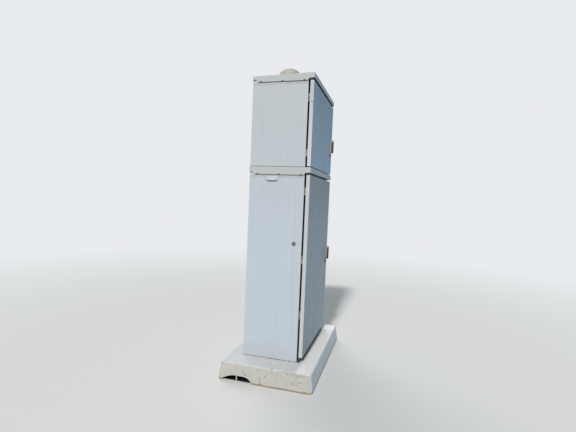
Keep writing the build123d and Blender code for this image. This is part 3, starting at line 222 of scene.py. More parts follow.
class Surface:
    """Points and faces of one piece, gathered part by part."""

    def __init__(self):
        self.points, self.faces, self.count = [], [], 0

    def grid(self, points, ring=False, capped=True):
        """Quads over a grid of points whose columns run round; a ring's rows run round as well.

        A cap closes the first and the last row with a fan to its middle.
        """
        rows, columns = points.shape[:2]
        number = np.arange(rows * columns).reshape(rows, columns)
        a = number if ring else number[:-1]
        b = np.roll(number, -1, 0) if ring else number[1:]
        faces = [np.stack([a, b, np.roll(b, -1, 1), np.roll(a, -1, 1)], -1).reshape(-1, 4)]
        flat = points.reshape(-1, 3)
        if capped and not ring:
            near, far, first = number[0], number[-1], rows * columns
            faces.append(np.stack([near, np.roll(near, -1), np.full(columns, first)], -1))
            faces.append(np.stack([np.roll(far, -1), far, np.full(columns, first + 1)], -1))
            flat = np.concatenate([flat, [points[0].mean(0), points[-1].mean(0)]])
        self.faces += [rows + self.count for rows in faces]
        self.points.append(flat)
        self.count += len(flat)
        return self

    def block(self, middle, half, sides=8):
        """Adds a block with soft corners: each signed cosine and sine raised to a small power.

        x = a c(u) c(v), y = b c(u) s(v), z = c s(u), where c and s keep their sign and are raised
        to the power 0.35, u runs from pole to pole and v runs round.
        """
        u = np.linspace(-np.pi / 2 + 1e-3, np.pi / 2 - 1e-3, sides)[:, None]
        v = np.arange(2 * sides) * np.pi / sides
        c, s, cos_v, sin_v = (
            np.sign(wave) * np.abs(wave) ** 0.35
            for wave in (np.cos(u), np.sin(u), np.cos(v), np.sin(v))
        )
        shape = np.stack([c * cos_v, c * sin_v, s + 0 * v], -1)
        return self.grid(shape * np.asarray(half, float) + np.asarray(middle, float))

    def turned(self, profile, sides, place):
        """Adds a turned shape: radius r and height h pairs carried round an axis along -Y.

        x = r cos t, y = -h, z = r sin t, moved into place.
        """
        r, h = np.asarray(profile, float).T[:, :, None]
        cosine, sine = circle(sides).T
        return self.grid(np.stack([r * cosine, 0 * sine - h, r * sine], -1) + np.asarray(place))

    def thing(self, name):
        """Puts the gathered mesh into the scene."""
        mesh = bpy.data.meshes.new(name)
        faces = [row for rows in self.faces for row in rows.tolist()]
        mesh.from_pydata(np.concatenate(self.points).tolist(), [], faces)
        mesh.update()
        return placed(name, mesh)

    def piece(self, name, finish, slot, body="cabinet"):
        """Makes the object with its finish, faces turned outwards, and fastens it to its body; the
        slot is not used.
        """
        thing = self.thing(name)
        thing.data.shade_smooth()
        thing.data.materials.append(finish)
        face_outwards(thing)
        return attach(thing, body) or thing


def circle(count):
    """Points at equal steps round a unit circle."""
    t = np.arange(count) * 2 * np.pi / count
    return np.stack([np.cos(t), np.sin(t)], -1)


def prism(ring, levels):
    """Grid of a flat ring of points repeated at some levels."""
    return np.stack([
        np.concatenate([ring, np.full((len(ring), 1), level)], -1) for level in levels
    ])


def rounded_outline(half_x, half_y, radius, step, inset=0.0):
    """Points and outward normals round a rectangle with quarter-circle corners.

    An inset outline keeps the number of points: its sides and its corner radius only shrink.
    """
    points, normals = [], []
    inner = max(radius - inset, 0.1 * radius)
    for turn in range(4):
        along, across = (half_x, half_y) if turn % 2 else (half_y, half_x)
        count = max(2, int(2 * (along - radius) / step))
        along, across, straight = along - inset, across - inset, along - inset - inner
        s = np.linspace(-straight, straight, count, endpoint=False)
        side = np.stack([np.full(count, across), s], -1)
        face = np.tile([1.0, 0.0], (count, 1))
        t = np.linspace(0, np.pi / 2, 7, endpoint=False)
        bend = np.stack([np.cos(t), np.sin(t)], -1)
        corner = np.array([across - inner, straight]) + inner * bend
        angle = turn * np.pi / 2
        spin = np.array([[math.cos(angle), math.sin(angle)], [-math.sin(angle), math.cos(angle)]])
        points.append(np.concatenate([side, corner]) @ spin)
        normals.append(np.concatenate([face, bend]) @ spin)
    return np.concatenate(points), np.concatenate(normals)


def swept_ring(path, normals, outline):
    """Grid of one outline (out, up), or one for each point, carried round a flat path."""
    outline = np.broadcast_to(outline, (len(path), *outline.shape[-2:]))
    flat = path[:, None, :] + outline[..., :1] * normals[:, None, :]
    return np.concatenate([flat, outline[..., 1:]], -1)


def maths(operation, swapped=False):
    """A method of Channel that adds one maths node."""
    def method(self, *others):
        values = (*others, self) if swapped else (self, *others)
        return self.tree.add("ShaderNodeMath", dict(enumerate(values)), operation=operation)
    return method


class Channel:
    """A value in a node tree; sums and products on it add their own maths to the tree."""

    def __init__(self, tree, socket):
        self.tree, self.socket = tree, socket

    __add__ = __radd__ = maths("ADD")
    __mul__ = __rmul__ = maths("MULTIPLY")
    __sub__, __rsub__ = maths("SUBTRACT"), maths("SUBTRACT", swapped=True)
    __truediv__, __pow__ = maths("DIVIDE"), maths("POWER")
    either, size = maths("MAXIMUM"), maths("ABSOLUTE")

    def step(self, low, high):
        """0 at low, 1 at high, smooth between; low may be the larger one."""
        return self.tree.add(
            "ShaderNodeMapRange", {"Value": self, "From Min": low, "From Max": high},
            interpolation_type="SMOOTHSTEP",
        )

    def near(self, middle, reach):
        """1 at the middle value and 0 beyond the reach."""
        return (self - middle).size().step(reach, 0.0)


class Nodes:
    """The nodes of a material or of the world."""

    def __init__(self, owner):
        owner.use_nodes = True
        self.nodes, self.links = owner.node_tree.nodes, owner.node_tree.links
        self.nodes.clear()

    def add(self, kind, values=None, output=0, **settings):
        """Adds a node: its settings first, then the values, colours or links of its sockets."""
        node = self.nodes.new(kind)
        for key, value in settings.items():
            setattr(node, key, value)
        for key, value in (values or {}).items():
            socket = node.inputs[key]
            if isinstance(value, Channel):
                self.links.new(value.socket, socket)
            elif socket.type == "RGBA":
                tone = linear(value) if isinstance(value, str) else value
                socket.default_value = (*tone, 1.0)
            else:
                socket.default_value = value
        return node if output is None else Channel(self, node.outputs[output])

    def outputs(self, kind, values=None, names=(0, 1, 2)):
        """Adds a node and gives several of its outputs."""
        node = self.add(kind, values, None)
        return [Channel(self, node.outputs[name]) for name in names]


class Finish(Nodes):
    """One procedural finish: layers of paint in the piece's own coordinates, then one shader."""

    def __init__(self, name):
        self.material = bpy.data.materials.new(name)
        super().__init__(self.material)
        self.place = self.add("ShaderNodeTexCoord", output="Object")
        self.x, self.y, self.z = self.outputs("ShaderNodeSeparateXYZ", {0: self.place})
        facing = self.add("ShaderNodeNewGeometry", output="True Normal")
        self.facing_x, self.facing_y, self.facing_z = self.outputs(
            "ShaderNodeSeparateXYZ", {0: facing}
        )
        self.paint = self.relief = None

    def stretched(self, sizes, move=(0, 0, 0)):
        """The piece's coordinates divided by three sizes, for patterns drawn out one way."""
        scale = tuple(1 / s for s in sizes)
        return self.add("ShaderNodeMapping", {
            "Vector": self.place, "Scale": scale, "Location": move,
        })

    def noise(self, size, detail=2.0, roughness=0.5, stretch=(1, 1, 1), move=(0, 0, 0)):
        """Noise with features of a size, stretched along the axes."""
        vector = self.stretched(tuple(size * s for s in stretch), move)
        return self.add("ShaderNodeTexNoise", {
            "Vector": vector, "Scale": 1.0, "Detail": detail, "Roughness": roughness,
        })

    def cells(self, size, output, move=(0, 0, 0)):
        """Cells of a size, by the distance to their points or by their colours."""
        vector = self.stretched((size,) * 3, move)
        return self.add("ShaderNodeTexVoronoi", {"Vector": vector, "Scale": 1.0}, output)

    def specks(self, size, radius, move=(0, 0, 0)):
        """Small separate dots: 1 inside a radius of the cells' points."""
        return self.cells(size, "Distance", move).step(radius / size, 0.6 * radius / size)

    def streaks(self, width, length, move=(0, 0, 0)):
        """Upright streaks as rain leaves them: noise drawn out along Z."""
        return self.noise(width, 3, 0.6, (1, 1, length / width), move)

    def spot(self, plane, middle, reach):
        """Soft oval patch in a plane such as yz: 1 in the middle, 0 at the reach each way."""
        a, b = ((getattr(self, axis) - m) / r for axis, m, r in zip(plane, middle, reach))
        return (a * a + b * b).step(1.0, 0.0)

    def mix(self, share, first, second):
        """First colour at 0, second colour at 1."""
        return self.add("ShaderNodeMix", {0: share, 6: first, 7: second}, 2, data_type="RGBA")

    def lay(self, share, tone):
        """Lays a tone over the paint where the share asks for it."""
        self.paint = self.mix(share, self.paint, tone)

    def tint(self, value, tone=None):
        """Makes the paint, or a new first tone, lighter or darker by a value."""
        grey = self.add("ShaderNodeCombineXYZ", {0: value, 1: value, 2: value})
        self.paint = self.add(
            "ShaderNodeMix", {0: 1.0, 6: self.paint if tone is None else tone, 7: grey}, 2,
            data_type="RGBA", blend_type="MULTIPLY",
        )

    def emboss(self, height, distance, strength=1.0):
        """Relief from a height value, over the relief so far."""
        values = {"Height": height, "Distance": distance, "Strength": strength}
        if self.relief:
            values["Normal"] = self.relief
        self.relief = self.add("ShaderNodeBump", values)

    def finished(self, roughness, **others):
        """Closes the finish with one shader and returns the material."""
        values = {"Base Color": self.paint, "Roughness": roughness, "Normal": self.relief}
        values.update({key.replace("_", " "): value for key, value in others.items()})
        shader = self.add("ShaderNodeBsdfPrincipled", values)
        self.add("ShaderNodeOutputMaterial", {"Surface": shader}, None)
        return self.material


def dress(finish, nodes):
    """Gives carried-over pieces their finish."""
    for node in nodes.split():
        mesh = NODES[node].data
        if not mesh.materials:
            mesh.materials.append(finish)
        for place in NODES[node].material_slots:
            place.material = finish


def both(names):
    """The nodes of the lower and of the upper door."""
    return " ".join(f"{door}_{name}" for door in ("lower", "upper") for name in names.split())


def weathered_sheet(name, tone, tone_top, look, streak_size, waves=None, door=False):
    """Satin paint on sheet metal after years outdoors; gives the finish and its mottle.

    Two tones blend with height and a broad mottle, and rain streaks lie over them. Relief is the
    paint's orange peel and the sheet's slight waves, given by their size, height and strength.
    """
    f = Finish(name)
    mottle = f.noise(0.16, 3, 0.6)
    fine = f.noise(0.012)
    height = f.z.step(*DOORS_MEET) if door else (f.z + mottle * 0.5).step(1.0, 2.3)
    f.paint = f.mix(height, tone, tone_top)
    dark = f.streaks(streak_size, 0.9).step(0.52, 0.78) * look.streaks
    lines = f.streaks(0.006, 0.35, (3.1, 0.7, 0)).step(0.6, 0.8) * look.streaks
    f.tint(1.0 - dark * 0.16 - lines * 0.1 + (mottle - 0.5) * 0.07 + (fine - 0.5) * 0.035)
    f.emboss(fine, 0.0004, 0.5)
    if waves:
        f.emboss(f.noise(waves[0]), *waves[1:])
    return f, mottle


def wall_finish(look):
    """Walls of both housings, with the rust spots low on the near end and the dirt line at the
    foot; painted shadow lines along the flaps and the upper housing's foot, painted shade in the
    door gaps and below the canopies, and a painted highlight on the folded front edge.
    """
    f, mottle = weathered_sheet(
        "Cabinet wall paint", look.wall, look.wall_top, look, 0.022,
        (0.32, 0.006, 0.35),
    )
    outside = (f.x - (LEFT + 0.001)).step(0.0006, 0.0)
    broken = f.noise(0.012, 4, 0.7)
    soil = f.noise(0.05, 4, 0.7)
    blots = f.spot("yz", (-0.026, 0.416), (0.014, 0.045))
    blots = blots.either(f.spot("yz", (-0.03, 0.33), (0.016, 0.055)))
    blots = blots.either(f.spot("yz", (0.006, 0.216), (0.045, 0.045)) * 0.7)
    blots = blots * f.streaks(0.008, 0.05, (0, 4, 1)).step(0.45, 0.62)
    blots = blots.either(f.spot("yz", (-0.144, 1.852), (0.005, 0.006)))
    blots = blots.either(f.spot("yz", (-0.159, 0.782), (0.004, 0.005)))
    blots = blots * outside * broken.step(0.3, 0.62) * look.stains
    f.lay(blots, look.rust)
    low = (f.z - WALL_LOW.z - soil * 0.16).step(0.05, -0.02) * 0.45
    foot = (f.z - WALL_LOW.z - broken * 0.006).step(0.002, -0.0005)
    f.lay(low * outside, look.wall_top)
    f.lay(foot, "4A3A2C")
    # Painted shadow: dark lines on the wall along the canopy flaps' lower edges, beyond the flaps'
    # ends below the skirt, and at the upper housing's foot
    line = f.z.near(UPPER_LOW.z, 0.0075)
    flap, past = f.y.step(BACK - 0.034, BACK - 0.039), f.y.step(BACK - 0.022, BACK - 0.018)
    for edge in FLAP_EDGES:
        line = line.either(f.z.near(edge - 0.0015, 0.0055) * flap)
        line = line.either(f.z.near(edge + 0.0145, 0.0065) * past)
    f.lay(line * outside * (0.55 + soil * 0.6), "2E2620")
    # Painted highlight: a pale strip along the wall's folded front edge
    highlight_ridge = f.y.near(FRAME_FACE + 0.003, 0.004) * outside
    f.lay(highlight_ridge * 0.6, look.chalk_and_highlight)
    # Grime and painted shade together: a darker, broken band on the wall just below each canopy's
    # skirt
    eaves_grime_and_shade = f.z.near(BAND_LOW.z - 0.012, 0.014).either(f.z.near(ROOF_LOW.z - 0.012, 0.014))
    f.lay(eaves_grime_and_shade * outside * soil.step(0.3, 0.6) * 0.35, look.grime)
    # Painted shade: the frame's front strips seen in the gaps round the doors, and its foot, are
    # laid near black
    front = f.y.step(FRAME_FACE + 0.001, FRAME_FACE) * (f.x - LEFT).step(0.0006, 0.0014)
    strips = f.x.step(LEFT + 0.04, LEFT + 0.036)
    for edge in FLAP_EDGES:
        strips = strips.either(f.z.near(edge, 0.032))
    strips = strips.either(f.z.step(0.166, 0.156)) * front
    f.lay(strips * (0.88 + broken * 0.2), look.gap)
    dots = f.specks(0.055, 0.0019) * f.noise(0.13).step(0.5, 0.62)
    f.lay(dots * 0.55, look.grime)
    gloss = 0.46 + mottle * 0.16 + blots.either(strips) * 0.4
    return f.finished(gloss, Specular_IOR_Level=0.3)


def door_finish(look):
    """Doors, with thin rain streaks, a pale smear, one stain and a long bright scratch, and painted
    shade round the two locks.
    """
    f, mottle = weathered_sheet(
        "Cabinet door paint", look.door, look.door_top, look, 0.016,
        (0.28, 0.006, 0.35), door=True,
    )
    front = (f.y - (DOOR_FACE + 0.001)).step(0.0006, 0.0)
    runs = f.streaks(0.011, 0.7, (8, 1, 0.3)).step(0.48, 0.74)
    f.tint(1.0 - runs * front * 0.16)
    smear = f.z.near(1.055, 0.035) * f.noise(0.05, 3, 0.6, (2, 1, 0.4)).step(0.35, 0.7)
    f.lay(smear * front * 0.22, look.wall_top)
    stain = f.spot("xz", (-0.231, 0.832), (0.022, 0.016)) * front
    f.lay(stain * look.stains, look.rust)
    scratch = (f.z - 0.327 + (f.x + 0.05) * 0.0198).size()
    scratch = scratch.step(0.0036, 0.0012) * f.x.step(-0.052, -0.04) * front
    scratch = scratch * f.noise(0.01, 3, 0.7).step(0.25, 0.4)
    f.lay(scratch * 0.85, "E4E4E0")
    end = (f.x - (LEFT + 0.0015)).step(0.0012, 0.0)
    chalk = f.noise(0.03, 4, 0.6).step(0.2, 0.8) * 0.25 + 0.7
    f.lay(end * chalk, look.chalk_and_highlight)
    hole = f.spot("yz", (DOOR_FACE + 0.01, 1.856), (0.006, 0.006)) * end
    f.lay(hole * 0.9, look.gap)
    cloud = f.noise(0.11, 3, 0.6, (0.35, 1, 1.6)).step(0.3, 0.75)
    f.tint(1.07 - cloud * front * 0.16 + (1.7 - f.z) * f.z.step(*DOORS_MEET) * 0.35)
    # Painted shade: a near-black ring on each door's face round its lock
    for level in LOCK_LEVELS:
        ring = f.spot("xz", (LOCK_X, level), (0.0215, 0.0215)) * front
        f.lay(ring * 0.9, look.gap)
    f.lay(f.specks(0.05, 0.0016, (2, 0.3, 0.1)) * 0.45, look.grime)
    return f.finished(0.4 + mottle * 0.18, Specular_IOR_Level=0.45)


def canopy_finish(look):
    """Canopies: chalky cream-grey paint, dirtier along the skirt's lower edge, with painted shadows
    and highlights at the screws, painted shade on the undersides and the faces towards -Y, and
    painted highlights on the top edges.
    """
    f, mottle = weathered_sheet(
        "Canopy paint", look.canopy, look.canopy, look, 0.03, (0.25, 0.005, 0.3)
    )
    dirt = f.noise(0.03, 4, 0.7)
    # Painted shade: the canopy faces towards -Y are laid bluish
    f.lay((f.facing_y * -1.0).step(0.5, 0.9) * 0.8, "BACADC")
    # Painted shadow and highlight at each canopy screw: a dark spot at the skirt's lower edge and a
    # pale spot just above it
    for edge in FLAP_EDGES:
        for y in (BACK - 0.057, (BACK + DOOR_FACE) / 2 + 0.004, DOOR_FACE + 0.065):
            f.lay(f.spot("yz", (y, edge + 0.0015), (0.011, 0.0075)) * 0.85, look.gap)
            f.lay(f.spot("yz", (y, edge + 0.0125), (0.007, 0.005)) * 0.6, "EDEBE5")
    edge = f.z.near(ROOF_LOW.z, 0.006).either(f.z.near(BAND_LOW.z, 0.006))
    f.lay(edge * dirt.step(0.35, 0.7) * 0.5, look.grime)
    # Painted shade: the undersides of the canopies are laid near black
    inside = (f.facing_z * -1.0).step(0.3, 0.7)
    f.lay(inside * 0.9, look.gap)
    film = f.noise(0.2, 4, 0.7).step(0.35, 0.75)
    f.lay(f.facing_z.step(0.6, 0.95) * film * 0.45, "A9A392")
    # Painted highlight: a pale line along the roof's top edge and the middle canopy's top edge
    highlight_ridge = f.z + (f.y - ROOF_LOW.y) * ROOF_SLOPE - ROOF_HIGH.z + 0.0012
    bright = highlight_ridge.size().step(0.0025, 0.0).either(f.z.near(BAND_HIGH.z - 0.0015, 0.0025))
    f.lay(bright * 0.4, look.chalk_and_highlight)
    f.lay(f.specks(0.04, 0.0018) * 0.5, look.grime)
    return f.finished(0.5 + mottle * 0.2, Specular_IOR_Level=0.35)


def hood_finish(look):
    """Vent hood: the wall's paint, darker along its lower edge, and painted shade in its mouth."""
    f, mottle = weathered_sheet("Vent hood paint", look.wall, look.canopy, look, 0.02)
    low = f.z.step(HOOD_LOW.z + 0.008, HOOD_LOW.z - 0.002)
    f.lay(low * f.noise(0.02, 4, 0.7).step(0.3, 0.7) * 0.4, look.grime)
    # Painted shade: the hood's inner faces and its underside are laid near black
    inside = f.facing_x.step(0.05, 0.2).either((f.facing_z * -1.0).step(0.3, 0.8))
    f.lay(inside, look.gap)
    return f.finished(0.5 + mottle * 0.15)


def dome_finish(look):
    """Chalky plastic dome with a tan and orange-brown tide band round its foot."""
    f = Finish("Dome plastic")
    mottle = f.noise(0.05, 4, 0.6)
    f.tint(0.93 + mottle * 0.12, look.dome)
    rise = f.z - DOME_LOW.z
    tide = (rise - mottle * 0.022).step(0.012, -0.006)
    f.lay(tide * 0.75, "A8845A")
    dregs = (rise - f.noise(0.02, 4, 0.7) * 0.014).step(0.004, -0.003)
    f.lay(dregs * 0.8, "7C5530")
    f.lay(rise.near(0.009, 0.0035) * 0.5, "EFE8DA")
    f.tint(1.0 - f.streaks(0.012, 0.12).step(0.55, 0.8) * 0.1)
    f.emboss(f.noise(0.004), 0.0003, 0.5)
    return f.finished(0.5 + mottle * 0.2, Subsurface_Weight=0.03)


def concrete_finish(wear):
    """Plinth: bluish painted top, beige sides with stains, and a brown soil line at the foot;
    painted light on the deck's front strip, and painted shade on the faces towards -Y, in the cable
    chamber and beneath the doors.
    """
    f = Finish("Painted concrete")
    broad = f.noise(0.14, 4, 0.6)
    blotch = f.noise(0.035, 5, 0.7)
    grain = f.noise(0.0035, 3, 0.7)
    top, end = f.facing_z.step(0.35, 0.8), f.x.step(*PLINTH_END)
    f.tint(0.86 + broad * 0.26, wear.side)
    f.lay(blotch.step(0.5, 0.72) * 0.5, "A89F8B")
    f.lay(blotch.step(0.42, 0.25) * 0.5, "E0DDD3")
    side = f.paint
    f.tint(0.93 + broad * 0.14, wear.top)
    away = f.spot("xy", (0.024, 0.0), (0.48, 0.3)).step(0.0, 0.32)
    f.lay(away * (0.35 + blotch * 0.8), "CAC6BA")
    # Painted light: the deck's front strip, towards -Y, is laid a brighter cream as if sunlit
    f.lay(f.y.step(-0.19, -0.225) * 0.9, "F0EEE8")
    f.lay(blotch.step(0.56, 0.74) * 0.45, "B7AE9C")
    f.paint = f.mix(top, side, f.paint)
    # Painted shade: the faces towards -Y are laid bluish white
    f.lay((f.facing_y * -1.0).step(0.5, 0.9) * 0.85, "DDE6F0")
    flake = f.spot("yz", (-0.205, 0.104), (0.105, 0.02)) * end
    f.lay(flake * f.noise(0.02, 4, 0.7).step(0.38, 0.5) * 0.6, "9D9587")
    patch = f.spot("yz", (-0.205, 0.05), (0.035, 0.022)) * end
    f.lay(patch * f.noise(0.012, 4, 0.7).step(0.4, 0.55) * 0.45, "8D8675")
    f.lay((f.z - blotch * 0.022).step(0.004, -0.006) * 0.8, wear.earth)
    for hole in ((-0.05, 0.114), (-0.007, 0.061), (0.128, 0.052), (0.046, 0.089), (0.296, 0.103)):
        f.lay(f.spot("yz", hole, (0.0055, 0.005)) * end * 0.8, "4A443A")
    crack = f.y.near(wear.crack_y, 0.0075) * f.z.step(0.05, 0.038) * end
    f.lay(crack * blotch.step(0.25, 0.55), "B08B50")
    core = f.y.near(wear.crack_y, 0.0022) * f.z.step(0.046, 0.04) * end
    f.lay(core * 0.7, "5A4228")
    pits = f.specks(0.02, 0.0019) * f.noise(0.05).step(0.42, 0.58)
    f.lay(pits * 0.75, "5E574B")
    f.lay(f.spot("xy", (0.359, -0.24), (0.009, 0.007)) * top * 0.8, "4E463B")
    from_middle = (f.x - 0.024).size()
    # Painted shade: inside the cable chamber and on faces looking down, such as the arch's roof,
    # the concrete is laid near black
    shaft = f.y.near(0.0, 0.1215) * from_middle.step(0.288, 0.282)
    cavity_shade = shaft.either(f.facing_z * -1.0).step(0.01, 0.12) * f.x.step(-0.529, -0.524)
    f.lay(cavity_shade * (1.0 - top) * 0.9, "100E0C")
    # Painted shadow: a dark strip on the deck beneath the doors, between the door faces and the
    # frame
    under = f.y.step(DOOR_FACE + 0.012, DOOR_FACE + 0.022) * from_middle.step(0.388, 0.383)
    f.lay(under * top * f.y.step(-0.1, -0.11) * 0.85, "1D1B18")
    f.tint(0.95 + grain * 0.1)
    f.emboss(grain, 0.0012, 0.7)
    f.emboss(f.noise(0.0012, 2, 0.6), 0.0005, 0.5)
    f.emboss(1.0 - pits, 0.0018)
    return f.finished(0.82 + grain * 0.12, Specular_IOR_Level=0.25)


def plain_finish(name, tone, second, size, roughness, relief=0.0003):
    """Two close tones over a fine grain, for small parts: noise drives tone, gloss and relief."""
    f = Finish(name)
    broad = f.noise(size, 4, 0.6)
    grain = f.noise(size / 12, 3, 0.6)
    f.paint = f.mix(broad.step(0.35, 0.68), tone, second)
    f.tint(0.94 + grain * 0.12)
    f.emboss(grain, relief, 0.6)
    return f.finished(roughness + (broad - 0.5) * 0.18)


def metal_finish(name, tone, second, size, roughness, metallic=0.9, spangle=0.0):
    """Bare or plated metal: dull patches, faint brushing, and a spangle where it is galvanised."""
    f = Finish(name)
    patch = f.noise(size, 4, 0.65)
    brush = f.noise(size / 20, 2, 0.5, (1, 1, 14))
    f.paint = f.mix(patch.step(0.4, 0.66), tone, second)
    if spangle:
        red = f.outputs("ShaderNodeSeparateXYZ", {0: f.cells(spangle, "Color")})[0]
        f.tint(0.85 + red * 0.22)
    f.tint(0.95 + brush * 0.1)
    f.emboss(brush, 0.00012, 0.5)
    return f.finished(roughness + (patch - 0.4) * 0.3, Metallic=metallic)


def casting_finish(name, tone, second, chipped):
    """Painted casting: chalky coat, worn through in small chips to the metal below."""
    f = Finish(name)
    broad = f.noise(0.02, 4, 0.65)
    chips = f.noise(0.006, 5, 0.75).step(0.66, 0.7)
    f.paint = f.mix(broad.step(0.35, 0.7), tone, second)
    f.lay(chips * 0.8, chipped)
    f.emboss(f.noise(0.0016, 2, 0.6), 0.0003, 0.6)
    f.emboss(1.0 - chips, 0.0002, 0.8)
    return f.finished(0.5 + broad * 0.2)


def lamp_finish(name, tone):
    """Moulded lens: clear tinted plastic, clouded by a fine noise."""
    f = Finish(name)
    cloud = f.noise(0.002)
    f.tint(0.8 + cloud * 0.3, tone)
    f.emboss(cloud, 0.00005)
    return f.finished(0.25, Coat_Weight=0.4)


class CABINET_OT_paint(bpy.types.Operator):
    """Paints the housings, doors, canopies, hood and dome as years outdoors leave them, with
    painted shade in their gaps and hollows and painted highlights on some edges
    """
    bl_idname = "cabinet.paint"
    bl_label = "Weathered paint"

    def execute(self, context):
        settings = context.scene.cabinet_paint
        dress(wall_finish(settings), "lower_housing upper_housing equipment_shelf")
        dress(door_finish(settings), "lower_door upper_door")
        dress(canopy_finish(settings), "middle_canopy roof_canopy")
        dress(hood_finish(settings), "vent_hood")
        dress(dome_finish(settings), "roof_dome")
        return {"FINISHED"}


CASTINGS = (
    (both("handle_plate handle_boss"), "Handle casting", "BDB8AA", "A29C8C", "6D675B"),
    (both("handle_grip"), "Handle grip casting", "46423B", "2B2925", "8E8676"),
    (both("lock_case"), "Blackened lock case", "171615", "0F0E0D", "5A564D"),
)
METALS = (
    ("side_lock_case", "Dull nickel", "A8A59C", "6E695E", 0.008, 0.42, 0.7),
    (both("door_hinges") + " frame_hinges hinge_pins",
     "Dirty hinge", "A9A69C", "5A5246", 0.01, 0.7, 0.1),
    (both("lock_barrel") + " side_lock_barrel",
     "Tarnished barrel", "7C776C", "4C463D", 0.006, 0.5, 0.7),
    (both("handle_pin latch_cam top_rod bottom_rod") + " housing_bolts",
     "Zinc plating", "C9C6B8", "A8A08C", 0.012, 0.42, 0.8, 0.006),
    ("canopy_screws", "Weathered screws", "A8A294", "6A6052", 0.004, 0.5, 0.4),
    ("anchor_bolts", "Galvanised steel", "B4B6B6", "8F9292", 0.03, 0.5, 0.75, 0.012),
)
RACK_METALS = (
    ("equipment_plate gland_plate", "Bare aluminium", "D3D5D6", "BFC1C2", 0.09, 0.42),
    ("rack_frame", "Zinc rack steel", "C9C8BE", "B1AFA2", 0.05, 0.45, 0.8),
)
PLASTICS = (
    ("controller_unit detector_unit",
     "Textured unit coat", "3B424B", "333941", 0.05, 0.62, 0.0005),
    ("switch_panel fan_tray power_supply", "Panel coat", "D7D6CF", "CBC9C0", 0.08, 0.5),
    ("backup_supply network_unit", "Supply coat", "5A6068", "4D535B", 0.07, 0.55),
    ("breakers", "Switch plastic", "E3E2DC", "DAD8D0", 0.02, 0.38, 0.0001),
    ("breaker_toggle_1 breaker_toggle_2 breaker_toggle_3",
     "Toggle plastic", "25262A", "1C1D20", 0.01, 0.35, 0.0001),
    ("main_switch_knob", "Knob plastic", "B8261E", "A01F18", 0.02, 0.35, 0.0001),
    ("terminal_strips", "Terminal plastic", "A9ACA6", "98A09A", 0.03, 0.5),
    ("wiring_ducts", "Duct plastic", "A6AAAC", "9A9EA1", 0.06, 0.52),
    ("cable_glands", "Gland plastic", "2B2C2F", "222326", 0.01, 0.55),
    ("document_pocket", "Pocket plastic", "4B4C50", "3F4044", 0.04, 0.6),
    ("arch_packer", "Packer plastic", "C6C0AE", "8E846E", 0.01, 0.7),
    ("fan_rotor", "Fan plastic", "2A2C30", "202225", 0.02, 0.45),
)


def dress_rows(make, rows):
    """Dresses the nodes at the start of each row in the finish made from its other values."""
    for nodes, *values in rows:
        dress(make(*values), nodes)


class CABINET_OT_metalwork(bpy.types.Operator):
    """Gives hinges, handles, locks, rods, screws and bolts their worn metal finishes"""
    bl_idname = "cabinet.metalwork"
    bl_label = "Handles, locks and fixings"

    def execute(self, context):
        dress_rows(casting_finish, CASTINGS)
        dress_rows(metal_finish, METALS)
        return {"FINISHED"}


class CABINET_OT_equipment(bpy.types.Operator):
    """Gives the rack, the equipment units, terminals, ducts and glands their finishes"""
    bl_idname = "cabinet.equipment"
    bl_label = "Equipment finishes"

    def execute(self, context):
        dress_rows(metal_finish, RACK_METALS)
        dress_rows(plain_finish, PLASTICS)
        return {"FINISHED"}


def cut_away(thing, cutters):
    """Takes the cutters out of a piece and leaves its mesh finished."""
    for cutter in cutters:
        face_outwards(cutter)
        cut = thing.modifiers.new("cut", "BOOLEAN")
        cut.operation, cut.solver, cut.object = "DIFFERENCE", "MANIFOLD", cutter
    bpy.context.view_layer.update()
    graph = bpy.context.evaluated_depsgraph_get()
    mesh = bpy.data.meshes.new_from_object(thing.evaluated_get(graph))
    thing.modifiers.clear()
    old, thing.data = thing.data, mesh
    mesh.name = thing.name
    bpy.data.meshes.remove(old)
    for cutter in cutters:
        bpy.data.objects.remove(cutter)


